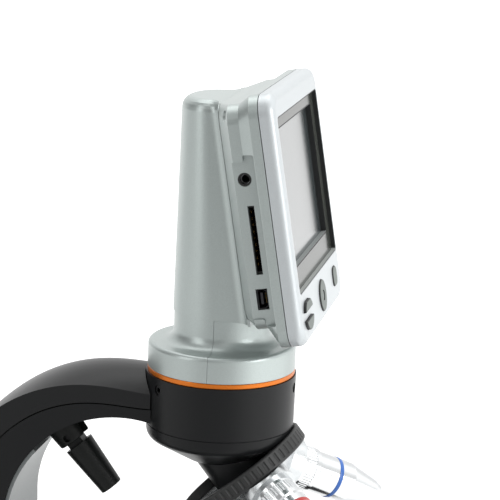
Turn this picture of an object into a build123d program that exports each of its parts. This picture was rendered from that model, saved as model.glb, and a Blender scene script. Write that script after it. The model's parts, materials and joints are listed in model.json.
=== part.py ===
"""LCD digital microscope, as an assembly of separate pieces.

Frame: +Z up, +X towards the user (the display side), the optical axis is the Z axis and the
table is z = 0.  The camera head turns on a joint ring on top of the arm.  The display housing
leans back by display_tilt, so its pieces are drawn on tilted planes made from display_plane.
"""
from build123d import *
from math import asin, atan2, cos, degrees, radians, sin, sqrt, tan
import os

os.makedirs("parts", exist_ok=True)

# ------------------------------------------------------------------ driving dimensions (mm)
# Stand
joint_height = 206.0          # table to the underside of the joint ring
head_radius = 29.87           # black head mount below the joint ring
flange_radius = 29.34         # camera head flange above the ring
ring_height = 2.17
flange_height = 10.18
mount_skirt = 21.0            # straight part of the head mount
bowl_shoulder = 5.4           # rounded underside of the head mount, below its straight part
bowl_drop = 15.4
bowl_radius = 12.0            # its lower radius
running_gap = 0.05            # radial clearance of shafts and journals
seam_gap = 0.3                # visible parting line between covers
shell_gap = 0.12              # finer one, between the two halves of the camera head
slide_gap = 0.3               # clearance between sliding faces

# Display housing, seen square on (width along Y, height along its own tilted axis)
display_tilt = 9.774          # degrees, leaning back
display_x = 32.16             # front face, at display_rise above the joint ring
display_rise = 75.0
housing_width = 92.0
housing_top = 43.3
housing_bottom = 52.3
housing_corner = 8.0
bezel_depth = 5.9
bezel_plate = 1.8
bezel_edge = 3.2
bezel_wall = 2.1
window_side = 4.14            # bezel beside the display window
window_top = 34.35
window_bottom = 32.5
window_corner = 2.0
surround_thickness = 2.1
display_half = 35.5
display_top = 29.6
display_bottom = 23.6
panel_width = 76.9
panel_height = 63.9
panel_thickness = 3.2
board_thickness = 1.6
rim_depth = 3.8               # rear cover rim behind the parting line
bevel_depth = 4.6
box_inset = 3.0               # rear box behind the bevel, in from the housing's sides
box_drop = 2.8                # and from its upper and lower edges
box_rise = 7.3
box_depth = 4.2
box_corner = 7.0
slope_depth = 6.0             # from the box to the seam with the tower
seam_half = 30.0
seam_drop = 0.7               # seam outline, in from the box's upper and lower edges
seam_rise = 1.0
cover_wall = 2.2
cavity_inset = 6.3            # inside of the box, in from the housing's sides
post_inset, post_drop = 8.0, 6.9          # upper screw posts, in from the side and the upper edge
low_post_inset, low_post_rise = 27.0, 10.8

# Tower, the upright column behind the display
tower_top = 110.0             # above the joint ring
tower_low = 24.6              # its lower parting line
tower_half_low = 19.6
tower_half_top = 18.2
tower_rear_low = 19.8
tower_rear_top = 18.3
tower_centre_top = 5.3        # how far back the rounded rear starts at the top
flare_depth = 5.6
flare_radius = 4.4
flare_turn = 80.0
tower_edge = 4.5
top_steps = 6
foot_radius = 19.35
foot_fillet = 5.0
flange_edge = 1.8
screw_radius = 1.0
well_radius = 2.2
well_wall = 1.2
parting_x = 0.5

# Ports in the side of the rear box
port_wall = 1.8
port_overrun = 3.0            # how far the recess runs past the box, into the slope
recess_low, recess_high, recess_step = -42.6, 22.1, 2.6
recess_w, recess_split = 9.9, 14.6
recess_fillet = 0.7
port_recess = 1.5
jack_v, jack_w = 12.8, 15.2
jack_radius = 2.5
jack_bore = 1.8
card_v, card_w = -10.2, 14.3
card_length, card_height = 26.1, 2.5
usb_v, usb_w = -32.65, 14.55
usb_length, usb_height = 7.8, 4.2
usb_setback = 1.1             # the shell sits this far behind the port face

# Buttons under the display
button_proud = {"menu_button": 1.2, "power_button": 1.2, "snap_button": 0.6, "nav_pad": 0.7}
button_flange = 0.9
button_travel = 0.5
button_gap = 0.2
pad_radius, pad_rise = 6.2, 10.3          # centre above the housing's lower edge
hub_radius = 1.9
snap_size, snap_inset, snap_rise = 7.8, 16.0, 11.3
oval_inset, oval_rise = 13.0, 10.9
oval_width, oval_height, oval_split = 14.4, 12.0, 3.4
flange_rim = 0.9              # hidden flange round each button, behind the bezel
keypad_inset, keypad_rise, keypad_height = 4.0, 10.1, 14.6

# Optics in the head
relay_radius = 11.0
relay_rise = 40.0             # top of the relay lens tube, above the joint ring
collar_radius = 24.0
collar_depth = 12.0
collar_bore = 13.0
collar_screw_circle = 18.5
groove_drop = 4.7             # set screw height below the joint
groove_half = 2.6
groove_radius = 22.3
set_screw_angles = (-1.5, 113.0, 226.0)
set_screw_radius = 2.0
light_radius = 5.2

# Nosepiece
turret_tilt = 39.0
turret_radius = 28.0
turret_band = 6.5
turret_offset = 8.64          # turret centre, forward of the optical axis
turret_drop = 38.9            # and below the joint ring
cross_drop = 28.2             # all objective axes cross this far below the joint ring
recess_radius = 26.8
recess_depth = 4.2
dome_radius = 31.0            # underside of the rotor, about where all objective axes cross
seat_radius = 36.0            # objective shoulders, from the same point
thread_radius = 7.6
thread_length = 3.2
objective_radius = 9.2
objective_lengths = {"objective_4x": 28.0, "objective_10x": 36.0, "objective_40x": 44.2}
objective_tips = {"objective_4x": 6.0, "objective_10x": 5.0, "objective_40x": 4.2}
parfocal = 45.0

# Arm
arm_half_front = 17.5
arm_half_rear = 22.5
arm_cover_wall = 2.6
column_foot = 34.0            # height of the base's top at the column
inner_strip = 1.5
fit_gap = 0.12                # between a strip or bracket and the casting it lies on
column_screw_x, column_screw_y = -91.0, 14.0

# Base
base_front = 62.0
base_rear = 121.0
base_half = 60.0
base_height = 34.0
base_corner = 30.0
base_taper = 4.0
base_edge = 5.0
base_wall = 2.6
feet_height = 2.5
lamp_ring_radius = 17.0
lamp_ring_height = 7.0

# Stage
stage_size = 90.0
stage_depth = 88.0
stage_thickness = 5.0
stage_screw_radius = 2.0
slide_glass = 1.2
pinion_radius = 4.5
focus_shaft_radius = 2.5
focus_x, focus_z = -93.2, 76.0
focus_knob_radius = 19.0
focus_knob_width = 17.0
lever_x, lever_inset = -7.4, 3.0   # pivot of the slide holder's spring lever

# Top lamp
lamp_droop = 50.0
lamp_radius = 7.8             # bracket, where it leaves the arm
lamp_tube_radius = 6.2        # lamp, at its inner end
lamp_taper = 4.0

# ------------------------------------------------------------------ derived frames
tilt = radians(display_tilt)
display_plane = Plane(
    origin=(display_x, 0, joint_height + display_rise),
    x_dir=(0, 1, 0),
    z_dir=(cos(tilt), 0, sin(tilt)),
)
display_axis = Axis(display_plane.origin, display_plane.z_dir)
window_half = housing_width / 2 - window_side
box_half = housing_width / 2 - box_inset
box_top, box_bottom = housing_top - box_drop, housing_bottom - box_rise
seam_top, seam_bottom = box_top - seam_drop, box_bottom - seam_rise
cavity_half = housing_width / 2 - cavity_inset
port_face = box_half - port_recess
port_plane = Plane(
    origin=display_plane.from_local_coords((-port_face, 0, 0)),
    x_dir=display_plane.z_dir,
    z_dir=(0, -1, 0),
)
housing_v = (housing_top - housing_bottom) / 2
housing_height = housing_top + housing_bottom
rim_w = bezel_depth + rim_depth
bevel_w = rim_w + bevel_depth
box_w = bevel_w + box_depth
seam_w = box_w + slope_depth
well_floor_w = rim_w
flange_low = joint_height + ring_height
flange_top = flange_low + flange_height
frame_shift = (base_rear - base_front) / 2    # puts the middle of the whole outline at x = 0
optic_floor = flange_low + cover_wall
specimen_z = joint_height - cross_drop - seat_radius - parfocal
stage_top = specimen_z - slide_glass
turret_plane = Plane(
    origin=(turret_offset, 0, joint_height - turret_drop),
    x_dir=(cos(radians(turret_tilt)), 0, sin(radians(turret_tilt))),
    z_dir=(sin(radians(turret_tilt)), 0, -cos(radians(turret_tilt))),
)
cross_point = (0, 0, joint_height - cross_drop)


def dome_middle(radius, rise):
    """Point halfway along a lens surface that rises towards the axis, in (radius, height)."""
    sphere = (radius ** 2 + rise ** 2) / (2 * rise)
    half_turn = asin(radius / sphere) / 2
    return sphere * sin(half_turn), rise - sphere * (1 - cos(half_turn))


def at_display(u, v, w):
    """A point given across, up and in front of the display, in the part's frame."""
    return display_plane.from_local_coords((u, v, w))


def seam_x(z):
    """Where the tower's front seam plane is at height z."""
    rise = z - joint_height - display_rise
    return display_x - seam_w / cos(tilt) - rise * tan(tilt)


def keep(piece, name):
    """Label a finished piece and write its STEP file."""
    placed = piece.part.moved(Location((frame_shift, 0, 0)))
    placed.label = name
    export_step(placed, f"parts/{name}.step")


# ================================================================== display housing
post_u, post_v = housing_width / 2 - post_inset, housing_top - post_drop
low_post_u, low_post_v = housing_width / 2 - low_post_inset, low_post_rise - housing_bottom
posts = [(-post_u, post_v), (post_u, post_v), (-low_post_u, low_post_v), (low_post_u, low_post_v)]
post_radius = 1.6
screw_tip_w = 3.6
screw_length = 6.8
screw_head = 1.5

pad_v = pad_rise - housing_bottom
snap_u, snap_v = housing_width / 2 - snap_inset, snap_rise - housing_bottom
oval_u, oval_v = oval_inset - housing_width / 2, oval_rise - housing_bottom
keypad_v = keypad_rise - housing_bottom
keypad_width = housing_width - 2 * keypad_inset


def button_outlines(grow):
    """The five button outlines on the display plane, each grown by the given amount."""
    with BuildSketch() as upper_left:
        with Locations((oval_u, oval_v)):
            Ellipse(oval_width / 2 + grow, oval_height / 2 + grow)
        with Locations((oval_u, oval_v + oval_split / 2 - grow)):
            Rectangle(2 * oval_width, oval_height, align=(Align.CENTER, Align.MIN), mode=Mode.INTERSECT)
        with Locations((oval_u, oval_v + 0.43 * oval_height + grow)):
            Rectangle(2 * oval_width, oval_height, align=(Align.CENTER, Align.MIN), mode=Mode.SUBTRACT)
    with BuildSketch() as lower_left:
        with Locations((oval_u, oval_v)):
            Ellipse(oval_width / 2 + grow, oval_height / 2 + grow)
        with Locations((oval_u, oval_v - oval_split / 2 + grow)):
            Rectangle(2 * oval_width, oval_height, align=(Align.CENTER, Align.MAX), mode=Mode.INTERSECT)
    with BuildSketch() as snap:
        with Locations((snap_u, snap_v)):
            RectangleRounded(snap_size + 2 * grow, snap_size + 2 * grow, 2.6 + grow)
    with BuildSketch() as pad:
        with Locations((0, pad_v)):
            Circle(pad_radius + grow)
    return {"menu_button": upper_left, "power_button": lower_left, "snap_button": snap, "nav_pad": pad}


with BuildPart() as lcd_bezel:
    with BuildSketch(display_plane.offset(-bezel_depth)):
        with Locations((0, housing_v)):
            RectangleRounded(housing_width, housing_height, housing_corner)
    extrude(amount=bezel_depth)
    fillet(lcd_bezel.faces().sort_by(display_axis)[-1].edges(), bezel_edge)
    with BuildSketch(display_plane.offset(-bezel_depth)):
        with Locations((0, housing_v)):
            RectangleRounded(
                housing_width - 2 * bezel_wall, housing_height - 2 * bezel_wall, housing_corner - bezel_wall
            )
    extrude(amount=bezel_depth - bezel_plate, mode=Mode.SUBTRACT)
    with BuildSketch(display_plane.offset(-bezel_plate)):
        with Locations(*posts):
            Circle(post_radius)
    extrude(amount=-(bezel_depth + rim_depth - bezel_plate))
    with BuildSketch(display_plane.offset(-bezel_plate)):
        with Locations((0, (window_top - window_bottom) / 2)):
            RectangleRounded(2 * window_half, window_top + window_bottom, window_corner)
        for outline in button_outlines(button_gap).values():
            add(outline.sketch)
    extrude(amount=bezel_plate, mode=Mode.SUBTRACT)
    # pilot holes for the housing screws
    with BuildSketch(display_plane.offset(-rim_w)):
        with Locations(*posts):
            Circle(screw_radius + 0.02)
    extrude(amount=rim_w - screw_tip_w, mode=Mode.SUBTRACT)
keep(lcd_bezel, "lcd_bezel")

with BuildPart() as display_surround:
    with BuildSketch(display_plane.offset(-bezel_plate)):
        with Locations((0, (window_top - window_bottom) / 2)):
            Rectangle(2 * window_half + 1.6, window_top + window_bottom + 1.6)
        with Locations((0, (display_top - display_bottom) / 2)):
            Rectangle(2 * display_half, display_top + display_bottom, mode=Mode.SUBTRACT)
        with Locations(*posts):
            Circle(post_radius + 0.2, mode=Mode.SUBTRACT)
    extrude(amount=-surround_thickness)
keep(display_surround, "display_surround")

panel_w = bezel_plate + surround_thickness
panel_v = (display_top - display_bottom) / 2 - 1.0
with BuildPart() as lcd_panel:
    with BuildSketch(display_plane.offset(-panel_w)):
        with Locations((0, panel_v)):
            RectangleRounded(panel_width, panel_height, 1.0)
    extrude(amount=-panel_thickness)
keep(lcd_panel, "lcd_panel")

board_w = panel_w + panel_thickness + 0.4
with BuildPart() as main_board:
    with BuildSketch(display_plane.offset(-board_w)):
        with Locations((0, -1.75)):
            Rectangle(2 * (cavity_half - 1.5), 69.5)
    extrude(amount=-board_thickness)
    with BuildSketch(display_plane.offset(-board_w - board_thickness)):
        with Locations((6, 8)):
            Rectangle(14, 14)
        with Locations((20, -14)):
            Rectangle(8, 10)
    extrude(amount=-1.4)
keep(main_board, "main_board")
board_back = board_w + board_thickness

# Button board, keypad and buttons, stacked behind the bezel's lower band
key_stack = bezel_plate + button_gap + button_flange
key_top_w = key_stack + button_travel + 0.1
with BuildPart() as keypad_mat:
    with BuildSketch(display_plane.offset(-key_top_w)):
        with Locations((0, keypad_v)):
            RectangleRounded(keypad_width, keypad_height, 3)
        with Locations(*posts):
            Circle(post_radius + 0.3, mode=Mode.SUBTRACT)
    extrude(amount=-1.2)
keep(keypad_mat, "keypad_mat")

with BuildPart() as button_board:
    with BuildSketch(display_plane.offset(-key_top_w - 1.2)):
        with Locations((0, keypad_v)):
            RectangleRounded(keypad_width, keypad_height + 0.2, 3)
        with Locations(*posts):
            Circle(post_radius + 0.3, mode=Mode.SUBTRACT)
    extrude(amount=-1.2)
keep(button_board, "button_board")

for button_name, outline in button_outlines(0).items():
    hub = button_name == "nav_pad"
    with BuildPart() as button:
        with BuildSketch(display_plane.offset(-bezel_plate - button_gap)):
            add(outline.sketch)
        extrude(amount=bezel_plate + button_gap + button_proud[button_name])
        fillet(button.faces().sort_by(display_axis)[-1].edges(), 0.45)
        with BuildSketch(display_plane.offset(-key_stack)):
            add(button_outlines(flange_rim)[button_name].sketch)
        extrude(amount=button_flange)
        if hub:
            with BuildSketch(display_plane.offset(-key_stack)):
                with Locations((0, pad_v)):
                    Circle(hub_radius + button_gap)
            extrude(amount=key_stack + button_proud[button_name], mode=Mode.SUBTRACT)
    keep(button, button_name)

with BuildPart() as ok_button:
    with BuildSketch(display_plane.offset(-key_stack)):
        with Locations((0, pad_v)):
            Circle(hub_radius)
    extrude(amount=key_stack + button_proud["nav_pad"] - 0.2)
    fillet(ok_button.faces().sort_by(display_axis)[-1].edges(), 0.4)
keep(ok_button, "ok_button")

# ================================================================== head shells
def foot_section(inset, top):
    """Half section of the flange and foot of the head, on the XZ plane, set in by a wall."""
    rim, waist = flange_radius - inset, foot_radius - inset
    low, shoulder = flange_low + inset, flange_top - inset
    with BuildSketch(Plane.XZ) as half:
        with BuildLine():
            Polyline(
                (0, low), (rim, low), (rim, shoulder), (waist, shoulder), (waist, top), (0, top), close=True
            )
        make_face()
        fillet(half.vertices().sort_by_distance((rim, shoulder))[0], flange_edge)
        fillet(half.vertices().sort_by_distance((waist, shoulder))[0], foot_fillet + inset)
    return half.sketch


def tower_outline(z, inset=0.0, flared=True):
    """Outline of the tower at height z: a rounded rear, straight sides and a flare to the seam.

    Without the flare it is the inside instead, which runs straight on past the seam."""
    share = (z - joint_height - tower_low) / (tower_top - tower_low)
    half = tower_half_low + share * (tower_half_top - tower_half_low) - inset
    rear = tower_rear_low + share * (tower_rear_top - tower_rear_low) - inset
    centre = -share * tower_centre_top
    seam = seam_x(z) - shell_gap
    flare = seam - flare_depth
    bend = flare_radius + inset
    turn = radians(flare_turn)
    lip = (flare + flare_radius * sin(turn), half + bend * (1 - cos(turn)))
    middle = (flare + 0.72 * (lip[0] - flare), half + 0.35 * (lip[1] - half))
    with BuildSketch(Plane.XY.offset(z)) as outline:
        with BuildLine():
            EllipticalCenterArc((centre, 0), rear + centre, half, start_angle=90, arc_size=180)
            if flared:
                Line((centre, half), (flare, half))
                ThreePointArc((flare, half), middle, lip)
                Polyline(lip, (seam, seam_half - inset), (seam, inset - seam_half), (lip[0], -lip[1]))
                ThreePointArc((lip[0], -lip[1]), (middle[0], -middle[1]), (flare, -half))
                Line((flare, -half), (centre, -half))
            else:
                past = seam + 2 * flare_depth
                Polyline((centre, half), (past, half), (past, -half), (centre, -half))
        make_face()
    return outline.sketch


lower_seam = joint_height + tower_low
with BuildPart() as tower_shell:
    # flange and foot, rear half only
    add(foot_section(0, lower_seam + 2 * shell_gap))
    revolve(axis=Axis.Z)
    with Locations((parting_x - shell_gap / 2, 0, flange_low)):
        Box(
            2 * flange_radius, 2 * flange_radius, tower_top,
            align=(Align.MIN, Align.CENTER, Align.MIN), mode=Mode.SUBTRACT,
        )
    # the column up to the rounded top, and the top as a stack of insets round a quarter turn
    add(tower_outline(lower_seam + shell_gap / 2))
    add(tower_outline(joint_height + tower_top - tower_edge))
    loft(ruled=True)
    for step in range(top_steps + 1):
        turn = radians(90 * step / top_steps)
        add(tower_outline(joint_height + tower_top - tower_edge * (1 - sin(turn)), tower_edge * (1 - cos(turn))))
    loft(ruled=True)
    # the flare's ends follow the rounded corners of the box
    with BuildSketch(display_plane.offset(-seam_w)):
        for side in (-1, 1):
            with Locations((side * (tower_half_low + flare_radius + seam_half), 0)):
                Rectangle(2 * seam_half, 4 * seam_top)
        with Locations((0, (seam_top - seam_bottom) / 2)):
            RectangleRounded(2 * seam_half, seam_top + seam_bottom, box_corner, mode=Mode.SUBTRACT)
    extrude(amount=-3 * flare_depth, mode=Mode.SUBTRACT)
    # hollow inside
    add(foot_section(cover_wall, lower_seam + 1))
    revolve(axis=Axis.Z, mode=Mode.SUBTRACT)
    add(tower_outline(lower_seam, cover_wall, flared=False))
    add(tower_outline(joint_height + tower_top - cover_wall - tower_edge / 2, cover_wall, flared=False))
    loft(ruled=True, mode=Mode.SUBTRACT)
    with Locations((0, 0, flange_low)):
        Cylinder(relay_radius + 2, 3 * cover_wall, mode=Mode.SUBTRACT)
    with Locations((0, 0, flange_low)):
        with PolarLocations(collar_screw_circle, 3):
            Cylinder(screw_radius + 0.2, 3 * cover_wall, mode=Mode.SUBTRACT)
keep(tower_shell, "tower_shell")

with BuildPart() as head_front_shell:
    # flange and foot, front half only, and clear of the tower above the lower seam
    add(foot_section(0, lower_seam + 6))
    revolve(axis=Axis.Z)
    with Locations((parting_x + shell_gap / 2, 0, flange_low)):
        Box(
            2 * flange_radius, 2 * flange_radius, tower_top,
            align=(Align.MAX, Align.CENTER, Align.MIN), mode=Mode.SUBTRACT,
        )
    with BuildSketch(Plane.XZ) as behind_seam:
        with BuildLine():
            Polyline(
                (parting_x - 1, lower_seam - shell_gap / 2), (seam_x(lower_seam), lower_seam - shell_gap / 2),
                (seam_x(lower_seam + 8), lower_seam + 8), (parting_x - 1, lower_seam + 8), close=True,
            )
        make_face()
    extrude(amount=flange_radius, both=True, mode=Mode.SUBTRACT)
    # rim behind the parting line
    with BuildSketch(display_plane.offset(-rim_w)):
        with Locations((0, housing_v)):
            RectangleRounded(housing_width, housing_height, housing_corner)
    extrude(amount=rim_depth - seam_gap)
    # bevel from the rim to the box
    with BuildSketch(display_plane.offset(-rim_w)):
        with Locations((0, housing_v)):
            RectangleRounded(housing_width, housing_height, housing_corner)
    with BuildSketch(display_plane.offset(-bevel_w)):
        with Locations((0, (box_top - box_bottom) / 2)):
            RectangleRounded(2 * box_half, box_top + box_bottom, box_corner)
    loft(ruled=True)
    # the box
    with BuildSketch(display_plane.offset(-box_w)):
        with Locations((0, (box_top - box_bottom) / 2)):
            RectangleRounded(2 * box_half, box_top + box_bottom, box_corner)
    extrude(amount=box_depth)
    # slope from the box to the tower seam
    with BuildSketch(display_plane.offset(-box_w)):
        with Locations((0, (box_top - box_bottom) / 2)):
            RectangleRounded(2 * box_half, box_top + box_bottom, box_corner)
    with BuildSketch(display_plane.offset(-seam_w)):
        with Locations((0, (seam_top - seam_bottom) / 2)):
            RectangleRounded(2 * seam_half, seam_top + seam_bottom, box_corner)
    loft(ruled=True)
    # hollow inside: the foot, the box, and the opening towards the tower
    add(foot_section(cover_wall, lower_seam + 6 - cover_wall))
    revolve(axis=Axis.Z, mode=Mode.SUBTRACT)
    with Locations((0, 0, flange_low)):
        Cylinder(relay_radius + 2, 3 * cover_wall, mode=Mode.SUBTRACT)
    with Locations((0, 0, flange_low)):
        with PolarLocations(collar_screw_circle, 3):
            Cylinder(screw_radius + 0.2, 3 * cover_wall, mode=Mode.SUBTRACT)
    with BuildSketch(display_plane.offset(-box_w)):
        with Locations((0, (box_top - box_bottom) / 2)):
            RectangleRounded(2 * cavity_half, box_top + box_bottom - 2 * cover_wall, box_corner - cover_wall)
        with Locations(*posts):
            Circle(well_radius + well_wall, mode=Mode.SUBTRACT)
    extrude(amount=box_w, mode=Mode.SUBTRACT)
    with BuildSketch(display_plane.offset(-box_w)):
        with Locations((0, (box_top - box_bottom) / 2)):
            RectangleRounded(2 * cavity_half, box_top + box_bottom - 2 * cover_wall, box_corner - cover_wall)
    with BuildSketch(display_plane.offset(-seam_w)):
        with Locations((0, (seam_top - seam_bottom) / 2)):
            RectangleRounded(
                2 * (seam_half - cover_wall), seam_top + seam_bottom - 2 * cover_wall, box_corner - cover_wall
            )
    loft(ruled=True, mode=Mode.SUBTRACT)
    # screw bosses left standing in the box: cut back at the rim, a well from behind, a screw hole
    with BuildSketch(display_plane.offset(-rim_w)):
        with Locations(*posts):
            Circle(well_radius + well_wall)
    extrude(amount=rim_depth, mode=Mode.SUBTRACT)
    with BuildSketch(display_plane.offset(-well_floor_w - well_wall)):
        with Locations(*posts):
            Circle(well_radius)
    extrude(amount=-(seam_w - well_floor_w), mode=Mode.SUBTRACT)
    with BuildSketch(display_plane):
        with Locations(*posts):
            Circle(screw_radius + 0.2)
    extrude(amount=-seam_w, mode=Mode.SUBTRACT)
    # port recess in the near side, open towards the slope, with a rounded step in its outline
    with BuildSketch(port_plane) as port_outline:
        with Locations((-box_w - port_overrun, recess_low + recess_step)):
            Rectangle(
                box_w + port_overrun - recess_split, recess_high - recess_low - 2 * recess_step,
                align=(Align.MIN, Align.MIN),
            )
        with Locations((-recess_split, recess_low)):
            Rectangle(recess_split - recess_w, recess_high - recess_low, align=(Align.MIN, Align.MIN))
        fillet(port_outline.vertices(), recess_fillet)
    extrude(amount=box_half, mode=Mode.SUBTRACT)
    # port openings through the recess wall
    with BuildSketch(port_plane):
        with Locations((-jack_w, jack_v)):
            Circle(jack_radius + 0.1)
        with Locations((-card_w, card_v)):
            Rectangle(card_height, card_length)
        with Locations((-usb_w, usb_v)):
            Rectangle(usb_height + 0.2, usb_length + 0.2)
    extrude(amount=-2 * port_wall, mode=Mode.SUBTRACT)
keep(head_front_shell, "head_front_shell")

# ================================================================== ports, screws and optics in the head
socket_depth = 9.0
card_body = 7.5
with BuildPart() as av_jack:
    with BuildSketch(port_plane.offset(-port_wall - 0.1)):
        with Locations((-board_back - socket_depth / 2, jack_v)):
            Rectangle(socket_depth, socket_depth)
    extrude(amount=-10.6)
    with BuildSketch(port_plane.offset(-0.2)):
        with Locations((-jack_w, jack_v)):
            Circle(jack_radius)
    extrude(amount=-port_wall)
    with BuildSketch(port_plane.offset(-0.2)):
        with Locations((-jack_w, jack_v)):
            Circle(jack_bore)
    extrude(amount=-11.0, mode=Mode.SUBTRACT)
keep(av_jack, "av_jack")

with BuildPart() as card_socket:
    with BuildSketch(port_plane.offset(-port_wall - 0.1)):
        with Locations((-board_back - card_body / 2, card_v)):
            Rectangle(card_body, card_length + 2.8)
    extrude(amount=-27.5)
    with BuildSketch(port_plane.offset(-port_wall - 0.1)):
        with Locations((-card_w, card_v)):
            Rectangle(card_height - 0.2, card_length - 1.7)
    extrude(amount=-24.0, mode=Mode.SUBTRACT)
keep(card_socket, "card_socket")


def usb_outline(inset):
    """The five-pin socket's outline on the port plane: flat behind, narrower towards the front."""
    back, front = -usb_w - usb_height / 2 + inset, -usb_w + usb_height / 2 - inset
    wide, narrow = usb_length / 2 - inset, usb_length / 2 - 0.9 - inset
    return [
        (back, usb_v - wide), (back + 2.2, usb_v - wide), (front, usb_v - narrow), (front, usb_v + narrow),
        (back + 2.2, usb_v + wide), (back, usb_v + wide),
    ]


with BuildPart() as usb_socket:
    with BuildSketch(port_plane.offset(-usb_setback)):
        with BuildLine():
            Polyline(*usb_outline(0.1), close=True)
        make_face()
    extrude(amount=usb_setback - 9.5)
    with BuildSketch(port_plane.offset(-port_wall - 0.1)):
        with Locations(((-board_back - usb_w + usb_height / 2 - 0.1) / 2, usb_v)):
            Rectangle(usb_w - usb_height / 2 + 0.1 - board_back, 5.6)
    extrude(amount=-7.6)
    with BuildSketch(port_plane.offset(-usb_setback)):
        with BuildLine():
            Polyline(*usb_outline(0.4), close=True)
        make_face()
    extrude(amount=-7.0, mode=Mode.SUBTRACT)
    with BuildSketch(port_plane.offset(-usb_setback - 0.7)):
        with Locations((-usb_w - 0.5, usb_v)):
            Rectangle(0.9, 4.4)
    extrude(amount=-7.0)
keep(usb_socket, "usb_socket")

# Relay lens, sensor board with its chip, and the collar the head turns on
cell_top = joint_height + relay_rise
lens_ledge = optic_floor + 12.0
with BuildPart() as relay_lens:
    with BuildSketch(Plane.XZ):
        with BuildLine():
            middle = dome_middle(9.15, 2.4)
            Polyline((0, lens_ledge + 5.0), (0, lens_ledge), (9.15, lens_ledge), (9.15, lens_ledge + 2.6))
            ThreePointArc((9.15, lens_ledge + 2.6), (middle[0], lens_ledge + 2.6 + middle[1]), (0, lens_ledge + 5.0))
        make_face()
    revolve(axis=Axis.Z)
keep(relay_lens, "relay_lens")

with BuildPart() as sensor_board:
    with Locations((0, 0, cell_top)):
        Box(22, 24, board_thickness, align=(Align.CENTER, Align.CENTER, Align.MIN))
    with Locations((0, 6, cell_top + board_thickness)):
        Box(12, 5, 2.2, align=(Align.CENTER, Align.CENTER, Align.MIN))
    with Locations((0, 0, cell_top)):
        Box(8, 8, 1.2, align=(Align.CENTER, Align.CENTER, Align.MAX))
keep(sensor_board, "sensor_board")

collar_low = joint_height - collar_depth + 0.1
groove_z = joint_height - groove_drop
with BuildPart() as swivel_collar:
    with BuildSketch(Plane.XZ):
        with BuildLine():
            Polyline(
                (collar_bore, collar_low), (collar_radius - running_gap, collar_low),
                (collar_radius - running_gap, groove_z - groove_half), (groove_radius, groove_z - groove_half),
                (groove_radius, groove_z + groove_half), (collar_radius - running_gap, groove_z + groove_half),
                (collar_radius - running_gap, flange_low), (collar_bore, flange_low), close=True,
            )
        make_face()
    revolve(axis=Axis.Z)
    # the relay lens tube, in one piece with the collar
    with Locations((0, 0, flange_low - 5.0)):
        Cylinder(relay_radius, cell_top - flange_low + 5.0, align=(Align.CENTER, Align.CENTER, Align.MIN))
        Cylinder(
            collar_bore + 1.0, 5.0, align=(Align.CENTER, Align.CENTER, Align.MIN)
        )
    with Locations((0, 0, collar_low)):
        Cylinder(8.0, 80.0, align=(Align.CENTER, Align.CENTER, Align.MIN), mode=Mode.SUBTRACT)
    with Locations((0, 0, lens_ledge)):
        Cylinder(9.2, 60.0, align=(Align.CENTER, Align.CENTER, Align.MIN), mode=Mode.SUBTRACT)
    with Locations((0, 0, flange_low)):
        with PolarLocations(collar_screw_circle, 3):
            Cylinder(
                screw_radius + 0.02, screw_length, align=(Align.CENTER, Align.CENTER, Align.MAX), mode=Mode.SUBTRACT
            )
keep(swivel_collar, "swivel_collar")

# Seven identical screws: four hold the bezel to its shell, three the shells to the collar
with BuildPart() as head_screws:
    with BuildSketch(display_plane.offset(-rim_w - well_wall)):
        with Locations(*posts):
            Circle(screw_radius)
    extrude(amount=screw_length)
    with BuildSketch(display_plane.offset(-rim_w - well_wall)):
        with Locations(*posts):
            Circle(well_radius - 0.3)
    extrude(amount=-screw_head)
    with BuildSketch(display_plane.offset(-rim_w - well_wall - screw_head)):
        with Locations(*posts):
            Rectangle(2.6, 0.6)
            Rectangle(0.6, 2.6)
    extrude(amount=0.9, mode=Mode.SUBTRACT)
    with Locations((0, 0, optic_floor)):
        with PolarLocations(collar_screw_circle, 3):
            Cylinder(screw_radius, screw_length, align=(Align.CENTER, Align.CENTER, Align.MAX))
            Cylinder(well_radius - 0.3, screw_head, align=(Align.CENTER, Align.CENTER, Align.MIN))
    with Locations((0, 0, optic_floor + screw_head)):
        with PolarLocations(collar_screw_circle, 3):
            Box(2.6, 0.6, 1.8, mode=Mode.SUBTRACT)
            Box(0.6, 2.6, 1.8, mode=Mode.SUBTRACT)
keep(head_screws, "head_screws")

# ================================================================== joint ring and head mount
with BuildPart() as joint_ring:
    with Locations((0, 0, joint_height)):
        Cylinder(flange_radius, ring_height - 0.1, align=(Align.CENTER, Align.CENTER, Align.MIN))
    fillet(joint_ring.edges().filter_by(GeomType.CIRCLE), 0.35)
    with Locations((0, 0, joint_height)):
        Cylinder(
            collar_radius + 0.5, ring_height, align=(Align.CENTER, Align.CENTER, Align.MIN), mode=Mode.SUBTRACT
        )
keep(joint_ring, "joint_ring")

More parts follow.
